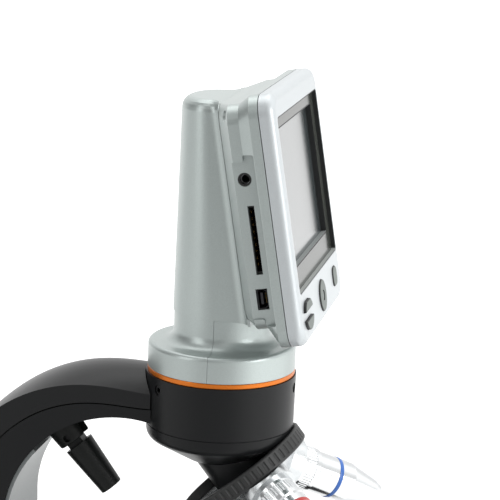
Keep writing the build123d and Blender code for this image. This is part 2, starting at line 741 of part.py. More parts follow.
tongue_low, tongue_top = joint_height - 10.0, joint_height - 5.1
bolt_x, bolt_y = -36.0, 5.5
bolt_radius = 1.9
bolt_length = 10.0
bolt_head_radius, bolt_head = 3.2, 3.0
skirt_low = joint_height - mount_skirt
shoulder_corner = (head_radius - 0.57, skirt_low - bowl_shoulder)
bowl_corner = (bowl_radius, skirt_low - bowl_drop)
with BuildPart() as head_mount:
    with BuildSketch(Plane.XZ) as mount_section:
        with BuildLine():
            Polyline(
                (0, joint_height), (head_radius, joint_height), (head_radius - 0.3, skirt_low),
                (head_radius - 0.7, skirt_low), (head_radius - 0.7, skirt_low - 0.4),
                (head_radius - 0.35, skirt_low - 0.4), shoulder_corner, bowl_corner, (0, skirt_low - bowl_drop),
                close=True,
            )
        make_face()
        fillet(mount_section.vertices().sort_by_distance(shoulder_corner)[0], 4.5)
        fillet(mount_section.vertices().sort_by_distance(bowl_corner)[0], 6.0)
    revolve(axis=Axis.Z)
    # inclined boss the nosepiece turns on
    with BuildSketch(turret_plane.offset(-14.0)):
        Circle(13.0)
    extrude(amount=14.0 + recess_depth - 0.1)
    # tongue that goes into the arm
    with Locations((-42.0, 0, tongue_low)):
        Box(16.0, 18.0, tongue_top - tongue_low, align=(Align.MIN, Align.CENTER, Align.MIN))
    # chamber for the collar, light path, screw holes
    with Locations((0, 0, joint_height)):
        Cylinder(
            collar_radius, collar_depth, align=(Align.CENTER, Align.CENTER, Align.MAX), mode=Mode.SUBTRACT
        )
        Cylinder(light_radius, 60.0, align=(Align.CENTER, Align.CENTER, Align.MAX), mode=Mode.SUBTRACT)
    for angle in set_screw_angles:
        with BuildSketch(Plane(
            origin=(0, 0, groove_z), z_dir=(cos(radians(angle)), sin(radians(angle)), 0), x_dir=(0, 0, 1)
        )):
            Circle(set_screw_radius + 0.02)
        extrude(amount=40.0, mode=Mode.SUBTRACT)
    with Locations((bolt_x, bolt_y, tongue_low), (bolt_x, -bolt_y, tongue_low)):
        Cylinder(bolt_radius + 0.02, 9.2, mode=Mode.SUBTRACT)
    with BuildSketch(turret_plane.offset(-0.8)):
        Circle(3.02)
    extrude(amount=10.0, mode=Mode.SUBTRACT)
keep(head_mount, "head_mount")

with BuildPart() as set_screws:
    for angle in set_screw_angles:
        outward = Plane(
            origin=(0, 0, groove_z), z_dir=(cos(radians(angle)), sin(radians(angle)), 0), x_dir=(0, 0, 1)
        )
        with BuildSketch(outward.offset(groove_radius + 0.6)):
            Circle(set_screw_radius)
        extrude(amount=29.3 - groove_radius - 0.6)
        with BuildSketch(outward.offset(29.3)):
            RegularPolygon(1.15, 6)
        extrude(amount=-1.8, mode=Mode.SUBTRACT)
keep(set_screws, "set_screws")

# ================================================================== nosepiece
turn_axis = turret_plane.z_dir


def objective_plane(angle):
    """Plane at an objective's shoulder, its z pointing out along the objective.  Angle 180 hangs
    straight down in the light path."""
    lean, spin = radians(turret_tilt), radians(angle)
    local = (sin(lean) * cos(spin), sin(lean) * sin(spin), cos(lean))
    across, side = turret_plane.x_dir, turret_plane.y_dir
    out = across * local[0] + side * local[1] + turn_axis * local[2]
    origin = Vector(*cross_point) + out * seat_radius
    return Plane(origin=origin, x_dir=side.cross(out) if abs(side.dot(out)) < 0.99 else across, z_dir=out)


objective_angles = {"objective_4x": 60.0, "objective_10x": 180.0, "objective_40x": 300.0}
ring_inner = 25.5
with BuildPart() as turret_ring:
    with BuildSketch(turret_plane):
        Circle(turret_radius + 0.3)
    extrude(amount=turret_band)
    fillet(turret_ring.edges().filter_by(GeomType.CIRCLE), 0.8)
    with BuildSketch(turret_plane):
        Circle(recess_radius)
    extrude(amount=recess_depth, mode=Mode.SUBTRACT)
    with BuildSketch(turret_plane):
        Circle(ring_inner)
    extrude(amount=turret_band, mode=Mode.SUBTRACT)
    # grip flutes
    with BuildSketch(turret_plane.offset(1.2)):
        with PolarLocations(turret_radius + 0.75, 60):
            Circle(0.85)
    extrude(amount=turret_band - 2.4, mode=Mode.SUBTRACT)
keep(turret_ring, "turret_ring")

with BuildPart() as turret_rotor:
    with BuildSketch(turret_plane.offset(recess_depth)):
        Circle(ring_inner)
    extrude(amount=turret_band - recess_depth)
    with Locations(Location(Vector(*cross_point))):
        Sphere(dome_radius)
    for angle in objective_angles.values():
        with BuildSketch(objective_plane(angle)):
            Circle(11.0)
        extrude(amount=-14.0)
    # keep only what is below the recess floor, inside the grip ring
    with BuildSketch(turret_plane.offset(recess_depth)):
        Circle(60.0)
    extrude(amount=-80.0, mode=Mode.SUBTRACT)
    with BuildSketch(turret_plane.offset(recess_depth)):
        Circle(40.0)
        Circle(ring_inner, mode=Mode.SUBTRACT)
    extrude(amount=turret_band - recess_depth, mode=Mode.SUBTRACT)
    for angle in objective_angles.values():
        with BuildSketch(objective_plane(angle)):
            Circle(thread_radius + 0.03)
        extrude(amount=-thread_length - 0.3, mode=Mode.SUBTRACT)
        with BuildSketch(objective_plane(angle)):
            Circle(6.0)
        extrude(amount=-30.0, mode=Mode.SUBTRACT)
    # pivot bore and the counterbore for the pivot screw's head
    with BuildSketch(turret_plane):
        Circle(3.0 + running_gap)
    extrude(amount=30.0, mode=Mode.SUBTRACT)
    with BuildSketch(turret_plane.offset(14.0)):
        Circle(6.3)
    extrude(amount=10.0, mode=Mode.SUBTRACT)
keep(turret_rotor, "turret_rotor")

with BuildPart() as turret_pivot_screw:
    with BuildSketch(turret_plane.offset(-0.5)):
        Circle(3.0)
    extrude(amount=14.6)
    with BuildSketch(turret_plane.offset(14.1)):
        Circle(6.0)
    extrude(amount=3.0)
    with BuildSketch(turret_plane.offset(17.1)):
        Rectangle(9.0, 1.2)
    extrude(amount=-1.4, mode=Mode.SUBTRACT)
keep(turret_pivot_screw, "turret_pivot_screw")

for objective_name, length in objective_lengths.items():
    seat = objective_plane(objective_angles[objective_name])
    tip = objective_tips[objective_name]
    with BuildPart() as objective:
        with BuildSketch(Plane.XZ):
            with BuildLine():
                Polyline(
                    (0, -thread_length), (thread_radius, -thread_length), (thread_radius, 0),
                    (objective_radius, 0), (objective_radius, 9.0),
                    (objective_radius - 0.6, 9.6), (objective_radius - 0.6, 0.62 * length), (tip + 1.2, length - 3.0),
                    (tip, length), (0, length), close=True,
                )
            make_face()
        revolve(axis=Axis.Z)
        with Locations((0, 0, -5.0)):
            Cylinder(5.6, length + 1.0, align=(Align.CENTER, Align.CENTER, Align.MIN), mode=Mode.SUBTRACT)
        with Locations((0, 0, length)):
            Cylinder(tip - 1.4, 12.0, mode=Mode.SUBTRACT)
        # a knurled band by the shoulder
        with BuildSketch(Plane.XY.offset(2.5)):
            with PolarLocations(objective_radius + 0.35, 48):
                Circle(0.55)
        extrude(amount=4.5, mode=Mode.SUBTRACT)
    objective.part = seat.location * objective.part
    keep(objective, objective_name)

front_lenses = []
for objective_name, length in objective_lengths.items():
    seat = objective_plane(objective_angles[objective_name])
    tip = objective_tips[objective_name]
    with BuildPart() as front_lens:
        with BuildSketch(Plane.XZ):
            with BuildLine():
                rim = tip - 1.45
                middle = dome_middle(rim, 0.8)
                Polyline((0, length - 3.2), (0, length - 0.5), (rim, length - 0.5), (rim, length - 2.4))
                ThreePointArc((rim, length - 2.4), (middle[0], length - 2.4 - middle[1]), (0, length - 3.2))
            make_face()
        revolve(axis=Axis.Z)
    front_lenses.append(seat.location * front_lens.part)

with BuildPart() as objective_lenses:
    for front_lens_part in front_lenses:
        add(front_lens_part)
keep(objective_lenses, "objective_lenses")

# ================================================================== arm
arm_x, arm_z = -42.0, joint_height - 67.0
arm_turns = (-21.0, 0.0, 20.0, 40.0, 60.0, 75.0, 90.0)


def arc_reach(turn, centre_x, centre_drop, radius):
    """Distance from the arm's turning point to a circle on the XZ plane, at an angle back from +Z."""
    out = Vector(-sin(radians(turn)), 0, cos(radians(turn)))
    to_centre = Vector(centre_x - arm_x, 0, joint_height - centre_drop - arm_z)
    along = out.dot(to_centre)
    return along + sqrt(along ** 2 - to_centre.length ** 2 + radius ** 2)


def arm_reach(turn):
    """The arm's inner face, the groove between its two halves and the upper edge, as distances.

    Over the front stretch, the groove and the edge run on along much larger arcs."""
    edge = arc_reach(turn, -49.0, 68.0, 62.0) if turn >= 6.5 else arc_reach(turn, -49.0, 206.0, 200.0)
    groove = arc_reach(turn, -46.0, 66.0, 53.0) if turn >= 4.2 else arc_reach(turn, -46.0, 513.0, 500.0)
    return arc_reach(turn, -36.0, 66.0, 47.6), groove, edge


def arm_plane(turn):
    return Plane(
        origin=(arm_x, 0, arm_z), x_dir=(0, 1, 0), z_dir=(cos(radians(turn)), 0, sin(radians(turn)))
    )


def arm_half(turn):
    share = (turn - arm_turns[0]) / (arm_turns[-1] - arm_turns[0])
    return arm_half_front + share * (arm_half_rear - arm_half_front)


def crown(turn):
    return max(1.2, 5.7 - 0.125 * turn)


def cover_section(turn, inset=0.0):
    """The upper half of the arm: straight sides and a crowned top."""
    inner, groove, edge = arm_reach(turn)
    half = arm_half(turn) - inset
    with BuildSketch(arm_plane(turn)) as section:
        with BuildLine():
            Polyline((-half, edge - inset), (-half, groove - inset), (half, groove - inset), (half, edge - inset))
            ThreePointArc((half, edge - inset), (0, edge + crown(turn) - inset), (-half, edge - inset))
        make_face()
    return section.sketch


def band_section(turn, low, high, half):
    """A plain rectangle across the arm, between two distances."""
    with BuildSketch(arm_plane(turn)) as section:
        with Locations((0, (low + high) / 2)):
            Rectangle(2 * half, high - low)
    return section.sketch


column_drop = arm_z - column_foot
with BuildPart() as arm_top_cover:
    for turn in arm_turns:
        add(cover_section(turn))
    loft()
    add(cover_section(90.0))
    extrude(amount=-column_drop)
    for turn in arm_turns:
        add(cover_section(turn, arm_cover_wall))
    loft(mode=Mode.SUBTRACT)
    add(cover_section(90.0, arm_cover_wall))
    extrude(amount=-column_drop, mode=Mode.SUBTRACT)
    with Locations((0, 0, joint_height)):
        Cylinder(head_radius + seam_gap, 120.0, mode=Mode.SUBTRACT)
keep(arm_top_cover, "arm_top_cover")

groove_gap = 0.5
tongue_rise = 3.0
channel_half = 8.0
channel_low, channel_high = 40.0, 135.0
inner_x = arm_x - arm_reach(90.0)[0]
with BuildPart() as arm_casting:
    for turn in arm_turns:
        inner, groove, edge = arm_reach(turn)
        add(band_section(turn, inner, groove - groove_gap, arm_half(turn)))
    loft()
    add(band_section(90.0, arm_reach(90.0)[0], arm_reach(90.0)[1] - groove_gap, arm_half(90.0)))
    extrude(amount=-column_drop)
    # tongue along the middle, inside the cover
    for turn in arm_turns:
        inner, groove, edge = arm_reach(turn)
        add(band_section(
            turn, groove - groove_gap - 1.0, groove + tongue_rise - groove_gap - arm_cover_wall,
            arm_half(turn) - arm_cover_wall - seam_gap,
        ))
    loft()
    add(band_section(
        90.0, arm_reach(90.0)[1] - groove_gap - 1.0, arm_reach(90.0)[1] + tongue_rise - groove_gap - arm_cover_wall,
        arm_half(90.0) - arm_cover_wall - seam_gap,
    ))
    extrude(amount=-column_drop)
    # pad under the head mount's tongue
    with Locations((-42.0, 0, tongue_low)):
        Box(13.0, 20.0, 5.5, align=(Align.MIN, Align.CENTER, Align.MAX))
    with Locations((0, 0, joint_height)):
        Cylinder(head_radius + 0.05, 120.0, mode=Mode.SUBTRACT)
    # bolts up into the head mount's tongue, counterbored from below
    with Locations((bolt_x, bolt_y, tongue_low), (bolt_x, -bolt_y, tongue_low)):
        Cylinder(bolt_radius + 0.2, 20.0, align=(Align.CENTER, Align.CENTER, Align.MAX), mode=Mode.SUBTRACT)
    with Locations((bolt_x, bolt_y, tongue_low - 5.6), (bolt_x, -bolt_y, tongue_low - 5.6)):
        Cylinder(
            bolt_head_radius + 0.3, 20.0, align=(Align.CENTER, Align.CENTER, Align.MAX), mode=Mode.SUBTRACT
        )
    # channel for the stage slide, shaft bore, pinion room
    with Locations((inner_x + 1.0, 0, channel_low)):
        Box(
            16.4, 2 * channel_half, channel_high - channel_low,
            align=(Align.MAX, Align.CENTER, Align.MIN), mode=Mode.SUBTRACT,
        )
    with BuildSketch(Plane.XZ):
        with Locations((focus_x, focus_z)):
            Circle(focus_shaft_radius + running_gap)
    extrude(amount=60.0, both=True, mode=Mode.SUBTRACT)
    # holes for the column screws
    with Locations((column_screw_x, column_screw_y, column_foot), (column_screw_x, -column_screw_y, column_foot)):
        Cylinder(bolt_radius + 0.02, 11.0, align=(Align.CENTER, Align.CENTER, Align.MIN), mode=Mode.SUBTRACT)
keep(arm_casting, "arm_casting")

# The strip starts just behind the top lamp's bracket
lamp_root = (-65.2, joint_height - 28.4)
lamp_turn = degrees(atan2(arm_x - lamp_root[0], lamp_root[1] - arm_z))
strip_start = lamp_turn + degrees((lamp_radius + 1.0) / arm_reach(lamp_turn)[0])
strip_turns = (strip_start, 60.0, 75.0, 90.0)
with BuildPart() as arm_inner_cover:
    for turn in strip_turns:
        inner = arm_reach(turn)[0]
        add(band_section(turn, inner - inner_strip, inner - fit_gap, arm_half(turn) - 1.0))
    loft()
    add(band_section(90.0, arm_reach(90.0)[0] - inner_strip, arm_reach(90.0)[0] - fit_gap, arm_half(90.0) - 1.0))
    extrude(amount=-column_drop)
    with Locations((inner_x, 0, channel_low)):
        Box(
            10.0, 2 * channel_half, channel_high - channel_low,
            align=(Align.CENTER, Align.CENTER, Align.MIN), mode=Mode.SUBTRACT,
        )
keep(arm_inner_cover, "arm_inner_cover")

# ================================================================== top lamp
droop = radians(lamp_droop)
lamp_plane = Plane(
    origin=(lamp_root[0], 0, lamp_root[1]), x_dir=(0, 1, 0), z_dir=(cos(droop), 0, -sin(droop))
)
side_plane = Plane(    # x along the lamp, y across it, z along the pivot pin
    origin=(lamp_root[0], 0, lamp_root[1]), x_dir=(cos(droop), 0, -sin(droop)), z_dir=(0, -1, 0)
)
pivot_s, bracket_s, slot_half, tongue_half = 6.0, 8.6, 3.2, 2.9
with BuildPart() as lamp_bracket:
    with BuildSketch(lamp_plane.offset(-5.0)):
        Circle(lamp_radius)
    extrude(amount=5.0 + bracket_s, taper=lamp_taper)
    fillet(lamp_bracket.edges().sort_by(Axis(lamp_plane.origin, lamp_plane.z_dir))[-1], 0.8)
    with BuildSketch(side_plane):
        Circle(200.0)
        with Locations(side_plane.to_local_coords(Vector(-36.0, 0, joint_height - 66.0))):
            Circle(47.6 - fit_gap, mode=Mode.SUBTRACT)
    extrude(amount=20.0, both=True, mode=Mode.SUBTRACT)
    with BuildSketch(side_plane):
        with Locations((1.9, 0)):
            Rectangle(20.0, 20.0, align=(Align.MIN, Align.CENTER))
    extrude(amount=slot_half, both=True, mode=Mode.SUBTRACT)
    with BuildSketch(side_plane):
        with Locations((pivot_s, 0)):
            Circle(1.52)
    extrude(amount=20.0, both=True, mode=Mode.SUBTRACT)
keep(lamp_bracket, "lamp_bracket")

with BuildPart() as lamp_pin:
    with BuildSketch(side_plane):
        with Locations((pivot_s, 0)):
            Circle(1.5)
    extrude(amount=lamp_radius - 2.6, both=True)
keep(lamp_pin, "lamp_pin")

lamp_start, lamp_end = 10.9, 33.0
lamp_bore = lamp_tube_radius - (lamp_end - lamp_start) * tan(radians(lamp_taper)) - 0.8
with BuildPart() as lamp_housing:
    with BuildSketch(side_plane):
        with Locations((pivot_s, 0)):
            Circle(3.4)
        with Locations((pivot_s, 0)):
            Rectangle(lamp_start - pivot_s + 1.0, 6.8, align=(Align.MIN, Align.CENTER))
    extrude(amount=tongue_half, both=True)
    with BuildSketch(lamp_plane.offset(lamp_start)):
        Circle(lamp_tube_radius)
    extrude(amount=lamp_end - lamp_start, taper=lamp_taper)
    fillet(lamp_housing.edges().sort_by(Axis(lamp_plane.origin, lamp_plane.z_dir))[-1], 0.5)
    with BuildSketch(lamp_plane.offset(lamp_start + 2.0)):
        Circle(lamp_bore)
    extrude(amount=lamp_end, mode=Mode.SUBTRACT)
    with BuildSketch(side_plane):
        with Locations((pivot_s, 0)):
            Circle(1.5 + running_gap)
    extrude(amount=20.0, both=True, mode=Mode.SUBTRACT)
keep(lamp_housing, "lamp_housing")

with BuildPart() as lamp_led:
    with BuildSketch(lamp_plane.offset(lamp_start + 2.0)):
        Circle(lamp_bore - running_gap)
    extrude(amount=lamp_end - lamp_start - 3.2)
    fillet(lamp_led.edges().sort_by(Axis(lamp_plane.origin, lamp_plane.z_dir))[-1], 1.8)
keep(lamp_led, "lamp_led")

# ================================================================== base
base_length = base_front + base_rear
base_mid = (base_front - base_rear) / 2
base_screw_y, foot_y = base_half - 10.0, base_half - 24.0
base_screw_spots = [(x, y) for x in (51.0 - base_rear, base_front - 38.0) for y in (base_screw_y, -base_screw_y)]
foot_spots = [(x, y) for x in (25.0 - base_rear, base_front - 26.0) for y in (foot_y, -foot_y)]
skirt_radius = 14.0
plate_top = feet_height + 2.5
switch_x, switch_z = -40.0, 17.0
dimmer_x, dimmer_y, dimmer_z = 0.0, 11.0 - base_half, 18.0
dimmer_radius, dimmer_width = 11.0, 4.0
dc_z = 15.0
board_y, board_half = 16.0 - base_half, 10.0
post_rows = (board_y - 7.0, board_y + 7.0)
with BuildPart() as base_shell:
    with BuildSketch(Plane.XY.offset(feet_height)):
        with Locations((base_mid, 0)):
            RectangleRounded(base_length, 2 * base_half, base_corner)
    extrude(amount=base_height - feet_height, taper=base_taper)
    fillet(base_shell.faces().sort_by(Axis.Z)[-1].edges(), base_edge)
    with BuildSketch(Plane.XY.offset(feet_height)):
        with Locations((base_mid, 0)):
            RectangleRounded(base_length - 2 * base_wall, 2 * (base_half - base_wall), base_corner - base_wall)
    extrude(amount=base_height - feet_height - base_wall, taper=base_taper, mode=Mode.SUBTRACT)
    with Locations(*[(x, y, plate_top) for x, y in base_screw_spots]):
        Cylinder(4.0, base_height - 1.0 - plate_top, align=(Align.CENTER, Align.CENTER, Align.MIN))
        Cylinder(1.52, 12.0, align=(Align.CENTER, Align.CENTER, Align.MIN), mode=Mode.SUBTRACT)
    with Locations((0, 0, base_height)):
        Cylinder(skirt_radius + 0.1, 20.0, mode=Mode.SUBTRACT)
    with Locations((column_screw_x, column_screw_y, base_height), (column_screw_x, -column_screw_y, base_height)):
        Cylinder(bolt_radius + 0.2, 12.0, mode=Mode.SUBTRACT)
    with Locations((switch_x, -base_half, switch_z)):
        Box(20.2, 20.0, 15.2, mode=Mode.SUBTRACT)
    with Locations((dimmer_x, -base_half, dimmer_z + dimmer_width / 2)):
        Box(20.0, 12.0, dimmer_width + 1.2, mode=Mode.SUBTRACT)
    with BuildSketch(Plane.YZ.offset(-base_rear - 1.0)):
        with Locations((0, dc_z)):
            Circle(4.1)
    extrude(amount=10.0, mode=Mode.SUBTRACT)
keep(base_shell, "base_shell")

with BuildPart() as base_plate:
    with BuildSketch(Plane.XY.offset(feet_height)):
        with Locations((base_mid, 0)):
            RectangleRounded(
                base_length - 2 * base_wall - 0.8, 2 * (base_half - base_wall) - 0.8, base_corner - base_wall - 0.4
            )
    extrude(amount=plate_top - feet_height)
    with Locations(
        (-51.0, post_rows[0], plate_top), (-51.0, post_rows[1], plate_top), (8.0, post_rows[1], plate_top),
        (-28.0, post_rows[1], plate_top),
    ):
        Cylinder(2.4, 2.0, align=(Align.CENTER, Align.CENTER, Align.MIN))
    with Locations((-base_rear + 10.0, 0, plate_top)):
        Box(12.0, 12.0, dc_z - 5.0 - plate_top, align=(Align.CENTER, Align.CENTER, Align.MIN))
    with Locations(*[(x, y, feet_height) for x, y in base_screw_spots]):
        Cylinder(1.7, 20.0, mode=Mode.SUBTRACT)
        Cylinder(3.2, 2.8, mode=Mode.SUBTRACT)
keep(base_plate, "base_plate")

with BuildPart() as rubber_feet:
    with Locations(*[(x, y, 0) for x, y in foot_spots]):
        Cylinder(9.0, feet_height, align=(Align.CENTER, Align.CENTER, Align.MIN))
    fillet(rubber_feet.faces().group_by(Axis.Z)[0].edges(), 0.6)
keep(rubber_feet, "rubber_feet")

with BuildPart() as base_screws:
    with Locations(*[(x, y, feet_height + 0.2) for x, y in base_screw_spots]):
        Cylinder(3.0, 1.2, align=(Align.CENTER, Align.CENTER, Align.MIN))
        Cylinder(1.5, 12.0, align=(Align.CENTER, Align.CENTER, Align.MIN))
    with Locations(*[(x, y, feet_height + 0.2) for x, y in base_screw_spots]):
        Box(3.6, 0.7, 1.2, mode=Mode.SUBTRACT)
        Box(0.7, 3.6, 1.2, mode=Mode.SUBTRACT)
keep(base_screws, "base_screws")

# Four identical screws: two hold the arm to the head mount, two the column to the base
bolt_spots = [(bolt_x, y, tongue_low - 5.6) for y in (bolt_y, -bolt_y)]
bolt_spots += [(column_screw_x, y, base_height - base_wall) for y in (column_screw_y, -column_screw_y)]
with BuildPart() as arm_screws:
    with Locations(*bolt_spots):
        Cylinder(bolt_head_radius, bolt_head, align=(Align.CENTER, Align.CENTER, Align.MAX))
        Cylinder(bolt_radius, bolt_length, align=(Align.CENTER, Align.CENTER, Align.MIN))
    for x, y, z in bolt_spots:
        with BuildSketch(Plane.XY.offset(z - bolt_head)):
            with Locations((x, y)):
                RegularPolygon(1.7, 6)
        extrude(amount=1.9, mode=Mode.SUBTRACT)
keep(arm_screws, "arm_screws")

# Base lamp: a lens holder through the top with the board under it
light_board_z = 19.0
with BuildPart() as lens_holder:
    with Locations((0, 0, base_height)):
        Cylinder(lamp_ring_radius, lamp_ring_height, align=(Align.CENTER, Align.CENTER, Align.MIN))
    fillet(lens_holder.edges().sort_by(Axis.Z)[-1], 1.0)
    with Locations((0, 0, light_board_z)):
        Cylinder(skirt_radius, base_height - light_board_z, align=(Align.CENTER, Align.CENTER, Align.MIN))
        Cylinder(11.0, 60.0, align=(Align.CENTER, Align.CENTER, Align.MIN), mode=Mode.SUBTRACT)
    with Locations((0, 0, base_height + lamp_ring_height - 3.5)):
        Cylinder(12.0, 10.0, align=(Align.CENTER, Align.CENTER, Align.MIN), mode=Mode.SUBTRACT)
keep(lens_holder, "lens_holder")

with BuildPart() as field_lens:
    with Locations((0, 0, base_height + lamp_ring_height - 3.5)):
        Cylinder(11.95, 3.3, align=(Align.CENTER, Align.CENTER, Align.MIN))
    fillet(field_lens.edges().sort_by(Axis.Z)[-1], 1.6)
keep(field_lens, "field_lens")

with BuildPart() as light_board:
    with Locations((0, 0, light_board_z)):
        Cylinder(skirt_radius, board_thickness, align=(Align.CENTER, Align.CENTER, Align.MAX))
        Cylinder(4.0, 1.2, align=(Align.CENTER, Align.CENTER, Align.MIN))
    with Locations((0, 0, light_board_z + 1.2)):
        Cylinder(2.6, 1.4, align=(Align.CENTER, Align.CENTER, Align.MIN))
    fillet(light_board.edges().sort_by(Axis.Z)[-1], 1.0)
keep(light_board, "light_board")

board_low = plate_top + 2.0
switch_face = base_half - 0.6
switch_pivot = 5.4 - switch_face
with BuildPart() as control_board:
    with Locations((-21.5, board_y, board_low)):
        Box(67.0, 2 * board_half, board_thickness, align=(Align.CENTER, Align.CENTER, Align.MIN))
    with Locations((-16.0, board_y, board_low + board_thickness)):
        Box(9.0, 9.0, 1.6, align=(Align.CENTER, Align.CENTER, Align.MIN))
    # brightness control the wheel sits on
    with Locations((dimmer_x, dimmer_y, board_low + board_thickness)):
        Box(11.0, 9.0, dimmer_z - 0.3 - board_low - board_thickness, align=(Align.CENTER, Align.CENTER, Align.MIN))
        Cylinder(
            2.0, dimmer_z + dimmer_width + 1.0 - board_low - board_thickness,
            align=(Align.CENTER, Align.CENTER, Align.MIN),
        )
    # body of the rocker switch, through the side of the base
    with Locations((switch_x, -switch_face, switch_z)):
        Box(20.0, 14.0, 15.0, align=(Align.CENTER, Align.MIN, Align.CENTER))
        Box(14.6, 11.5, 11.6, align=(Align.CENTER, Align.MIN, Align.CENTER), mode=Mode.SUBTRACT)
    with Locations((switch_x, -switch_face + 14.0, board_low + board_thickness)):
        Box(20.0, 4.0, switch_z + 7.5 - board_low - board_thickness, align=(Align.CENTER, Align.MAX, Align.MIN))
    with BuildSketch(Plane.YZ.offset(switch_x)):
        with Locations((switch_pivot, switch_z)):
            Circle(1.02)
    extrude(amount=8.6, both=True, mode=Mode.SUBTRACT)
keep(control_board, "control_board")

with BuildPart() as dimmer_wheel:
    with Locations((dimmer_x, dimmer_y, dimmer_z)):
        Cylinder(dimmer_radius, dimmer_width, align=(Align.CENTER, Align.CENTER, Align.MIN))
        Cylinder(2.0 + running_gap, dimmer_width, align=(Align.CENTER, Align.CENTER, Align.MIN), mode=Mode.SUBTRACT)
        with PolarLocations(dimmer_radius + 0.3, 40):
            Cylinder(0.65, dimmer_width, align=(Align.CENTER, Align.CENTER, Align.MIN), mode=Mode.SUBTRACT)
keep(dimmer_wheel, "dimmer_wheel")

with BuildPart() as light_switch:
    with BuildSketch(Plane.YZ.offset(switch_x)):
        with BuildLine():
            Polyline(
                (switch_pivot - 4.6, switch_z + 4.4), (switch_pivot - 3.4, switch_z),
                (switch_pivot - 4.6, switch_z - 4.4), (switch_pivot + 2.0, switch_z - 4.4),
                (switch_pivot + 3.5, switch_z), (switch_pivot + 2.0, switch_z + 4.4), close=True,
            )
        make_face()
    extrude(amount=7.0, both=True)
    with BuildSketch(Plane.YZ.offset(switch_x)):
        with Locations((switch_pivot, switch_z)):
            Circle(0.97)
    extrude(amount=8.4, both=True)
keep(light_switch, "light_switch")

with BuildPart() as dc_inlet:
    with Locations((-base_rear + 4.0, 0, dc_z)):
        Box(14.0, 10.0, 10.0, align=(Align.MIN, Align.CENTER, Align.CENTER))
    with BuildSketch(Plane.YZ.offset(-base_rear + 1.2)):
        with Locations((0, dc_z)):
            Circle(4.0)
    extrude(amount=4.0)
    with BuildSketch(Plane.YZ.offset(-base_rear + 1.2)):
        with Locations((0, dc_z)):
            Circle(2.8)
            Circle(1.0, mode=Mode.SUBTRACT)
    extrude(amount=10.0, mode=Mode.SUBTRACT)
keep(dc_inlet, "dc_inlet")

# ================================================================== focus drive and stage
shaft_reach = 39.0
with BuildPart() as focus_shaft:
    with BuildSketch(Plane.XZ):
        with Locations((focus_x, focus_z)):
            Circle(focus_shaft_radius)
    extrude(amount=shaft_reach, both=True)
    with BuildSketch(Plane.XZ):
        with Locations((focus_x, focus_z)):
            Circle(pinion_radius)
            with PolarLocations(pinion_radius + 0.2, 16):
                Circle(0.45, mode=Mode.SUBTRACT)
    extrude(amount=5.0, both=True)
keep(focus_shaft, "focus_shaft")

with BuildPart() as focus_knobs:
    for side in (-1, 1):
        with BuildSketch(Plane(origin=(focus_x, side * 24.0, focus_z), x_dir=(1, 0, 0), z_dir=(0, side, 0))):
            Circle(focus_knob_radius)
        extrude(amount=focus_knob_width)
    fillet(focus_knobs.edges().filter_by(GeomType.CIRCLE), 1.2)
    for side in (-1, 1):
        with BuildSketch(Plane(origin=(focus_x, side * 27.0, focus_z), x_dir=(1, 0, 0), z_dir=(0, side, 0))):
            with PolarLocations(focus_knob_radius + 0.6, 36):
                Circle(1.2)
        extrude(amount=focus_knob_width - 6.0, mode=Mode.SUBTRACT)
        with BuildSketch(Plane(origin=(focus_x, side * 24.0, focus_z), x_dir=(1, 0, 0), z_dir=(0, side, 0))):
            Circle(focus_shaft_radius)
        extrude(amount=shaft_reach - 24.0, mode=Mode.SUBTRACT)
keep(focus_knobs, "focus_knobs")

stage_low = stage_top - stage_thickness
slide_front = inner_x + inner_strip + slide_gap
rack_back = focus_x + pinion_radius + slide_gap
rack_depth = 2.2
wheel_x, wheel_radius, wheel_thickness, wheel_ring = 22.0, 30.0, 3.0, 22.0
wheel_high = stage_low - slide_gap
stage_screw_x = 6.0 - stage_depth / 2
with BuildPart() as stage_plate:
    with BuildSketch(Plane.XY.offset(stage_low)):
        RectangleRounded(stage_depth, stage_size, 4.0)
        Circle(13.0, mode=Mode.SUBTRACT)
    extrude(amount=stage_thickness)
    chamfer(stage_plate.faces().sort_by(Axis.Z)[-1].outer_wire().edges(), 0.6)
    with Locations((wheel_x, 0, stage_low)):
        Cylinder(stage_screw_radius + 0.02, 3.6, align=(Align.CENTER, Align.CENTER, Align.MIN), mode=Mode.SUBTRACT)
    with Locations((stage_screw_x, 15.0, stage_top), (stage_screw_x, -15.0, stage_top)):
        Cylinder(stage_screw_radius + 0.2, 20.0, mode=Mode.SUBTRACT)
        Cylinder(3.8, 4.6, mode=Mode.SUBTRACT)
keep(stage_plate, "stage_plate")

bracket_back = slide_front + 7.0
with BuildPart() as stage_bracket:
    with Locations((slide_front, 0, stage_low)):
        Box(stage_screw_x + 8.0 - slide_front, 44.0, 7.0, align=(Align.MIN, Align.CENTER, Align.MAX))
        Box(bracket_back - slide_front, 36.0, 32.0, align=(Align.MIN, Align.CENTER, Align.MAX))
    with BuildSketch(Plane.XZ):
        with BuildLine():
            Polyline(
                (bracket_back, stage_low - 7.0), (stage_screw_x + 4.0, stage_low - 7.0),
                (bracket_back, stage_low - 30.0), close=True,
            )
        make_face()
    extrude(amount=4.0, both=True)
    with Locations((rack_back + rack_depth, 0, 66.0)):
        Box(
            slide_front - rack_back - rack_depth, 2 * (channel_half - slide_gap), 36.0,
            align=(Align.MIN, Align.CENTER, Align.MIN),
        )
    # toothed rack down the back of the slide
    with Locations((rack_back, 0, 66.5)):
        Box(rack_depth, 8.0, 35.0, align=(Align.MIN, Align.CENTER, Align.MIN))
    with BuildSketch(Plane.XZ):
        with Locations((rack_back, 66.5 + 17.5)):
            with GridLocations(1.0, 1.6, 1, 21):
                Rectangle(1.2, 0.8)
    extrude(amount=4.0, both=True, mode=Mode.SUBTRACT)
    with Locations((stage_screw_x, 15.0, stage_low), (stage_screw_x, -15.0, stage_low)):
        Cylinder(stage_screw_radius + 0.02, 12.0, mode=Mode.SUBTRACT)
keep(stage_bracket, "stage_bracket")

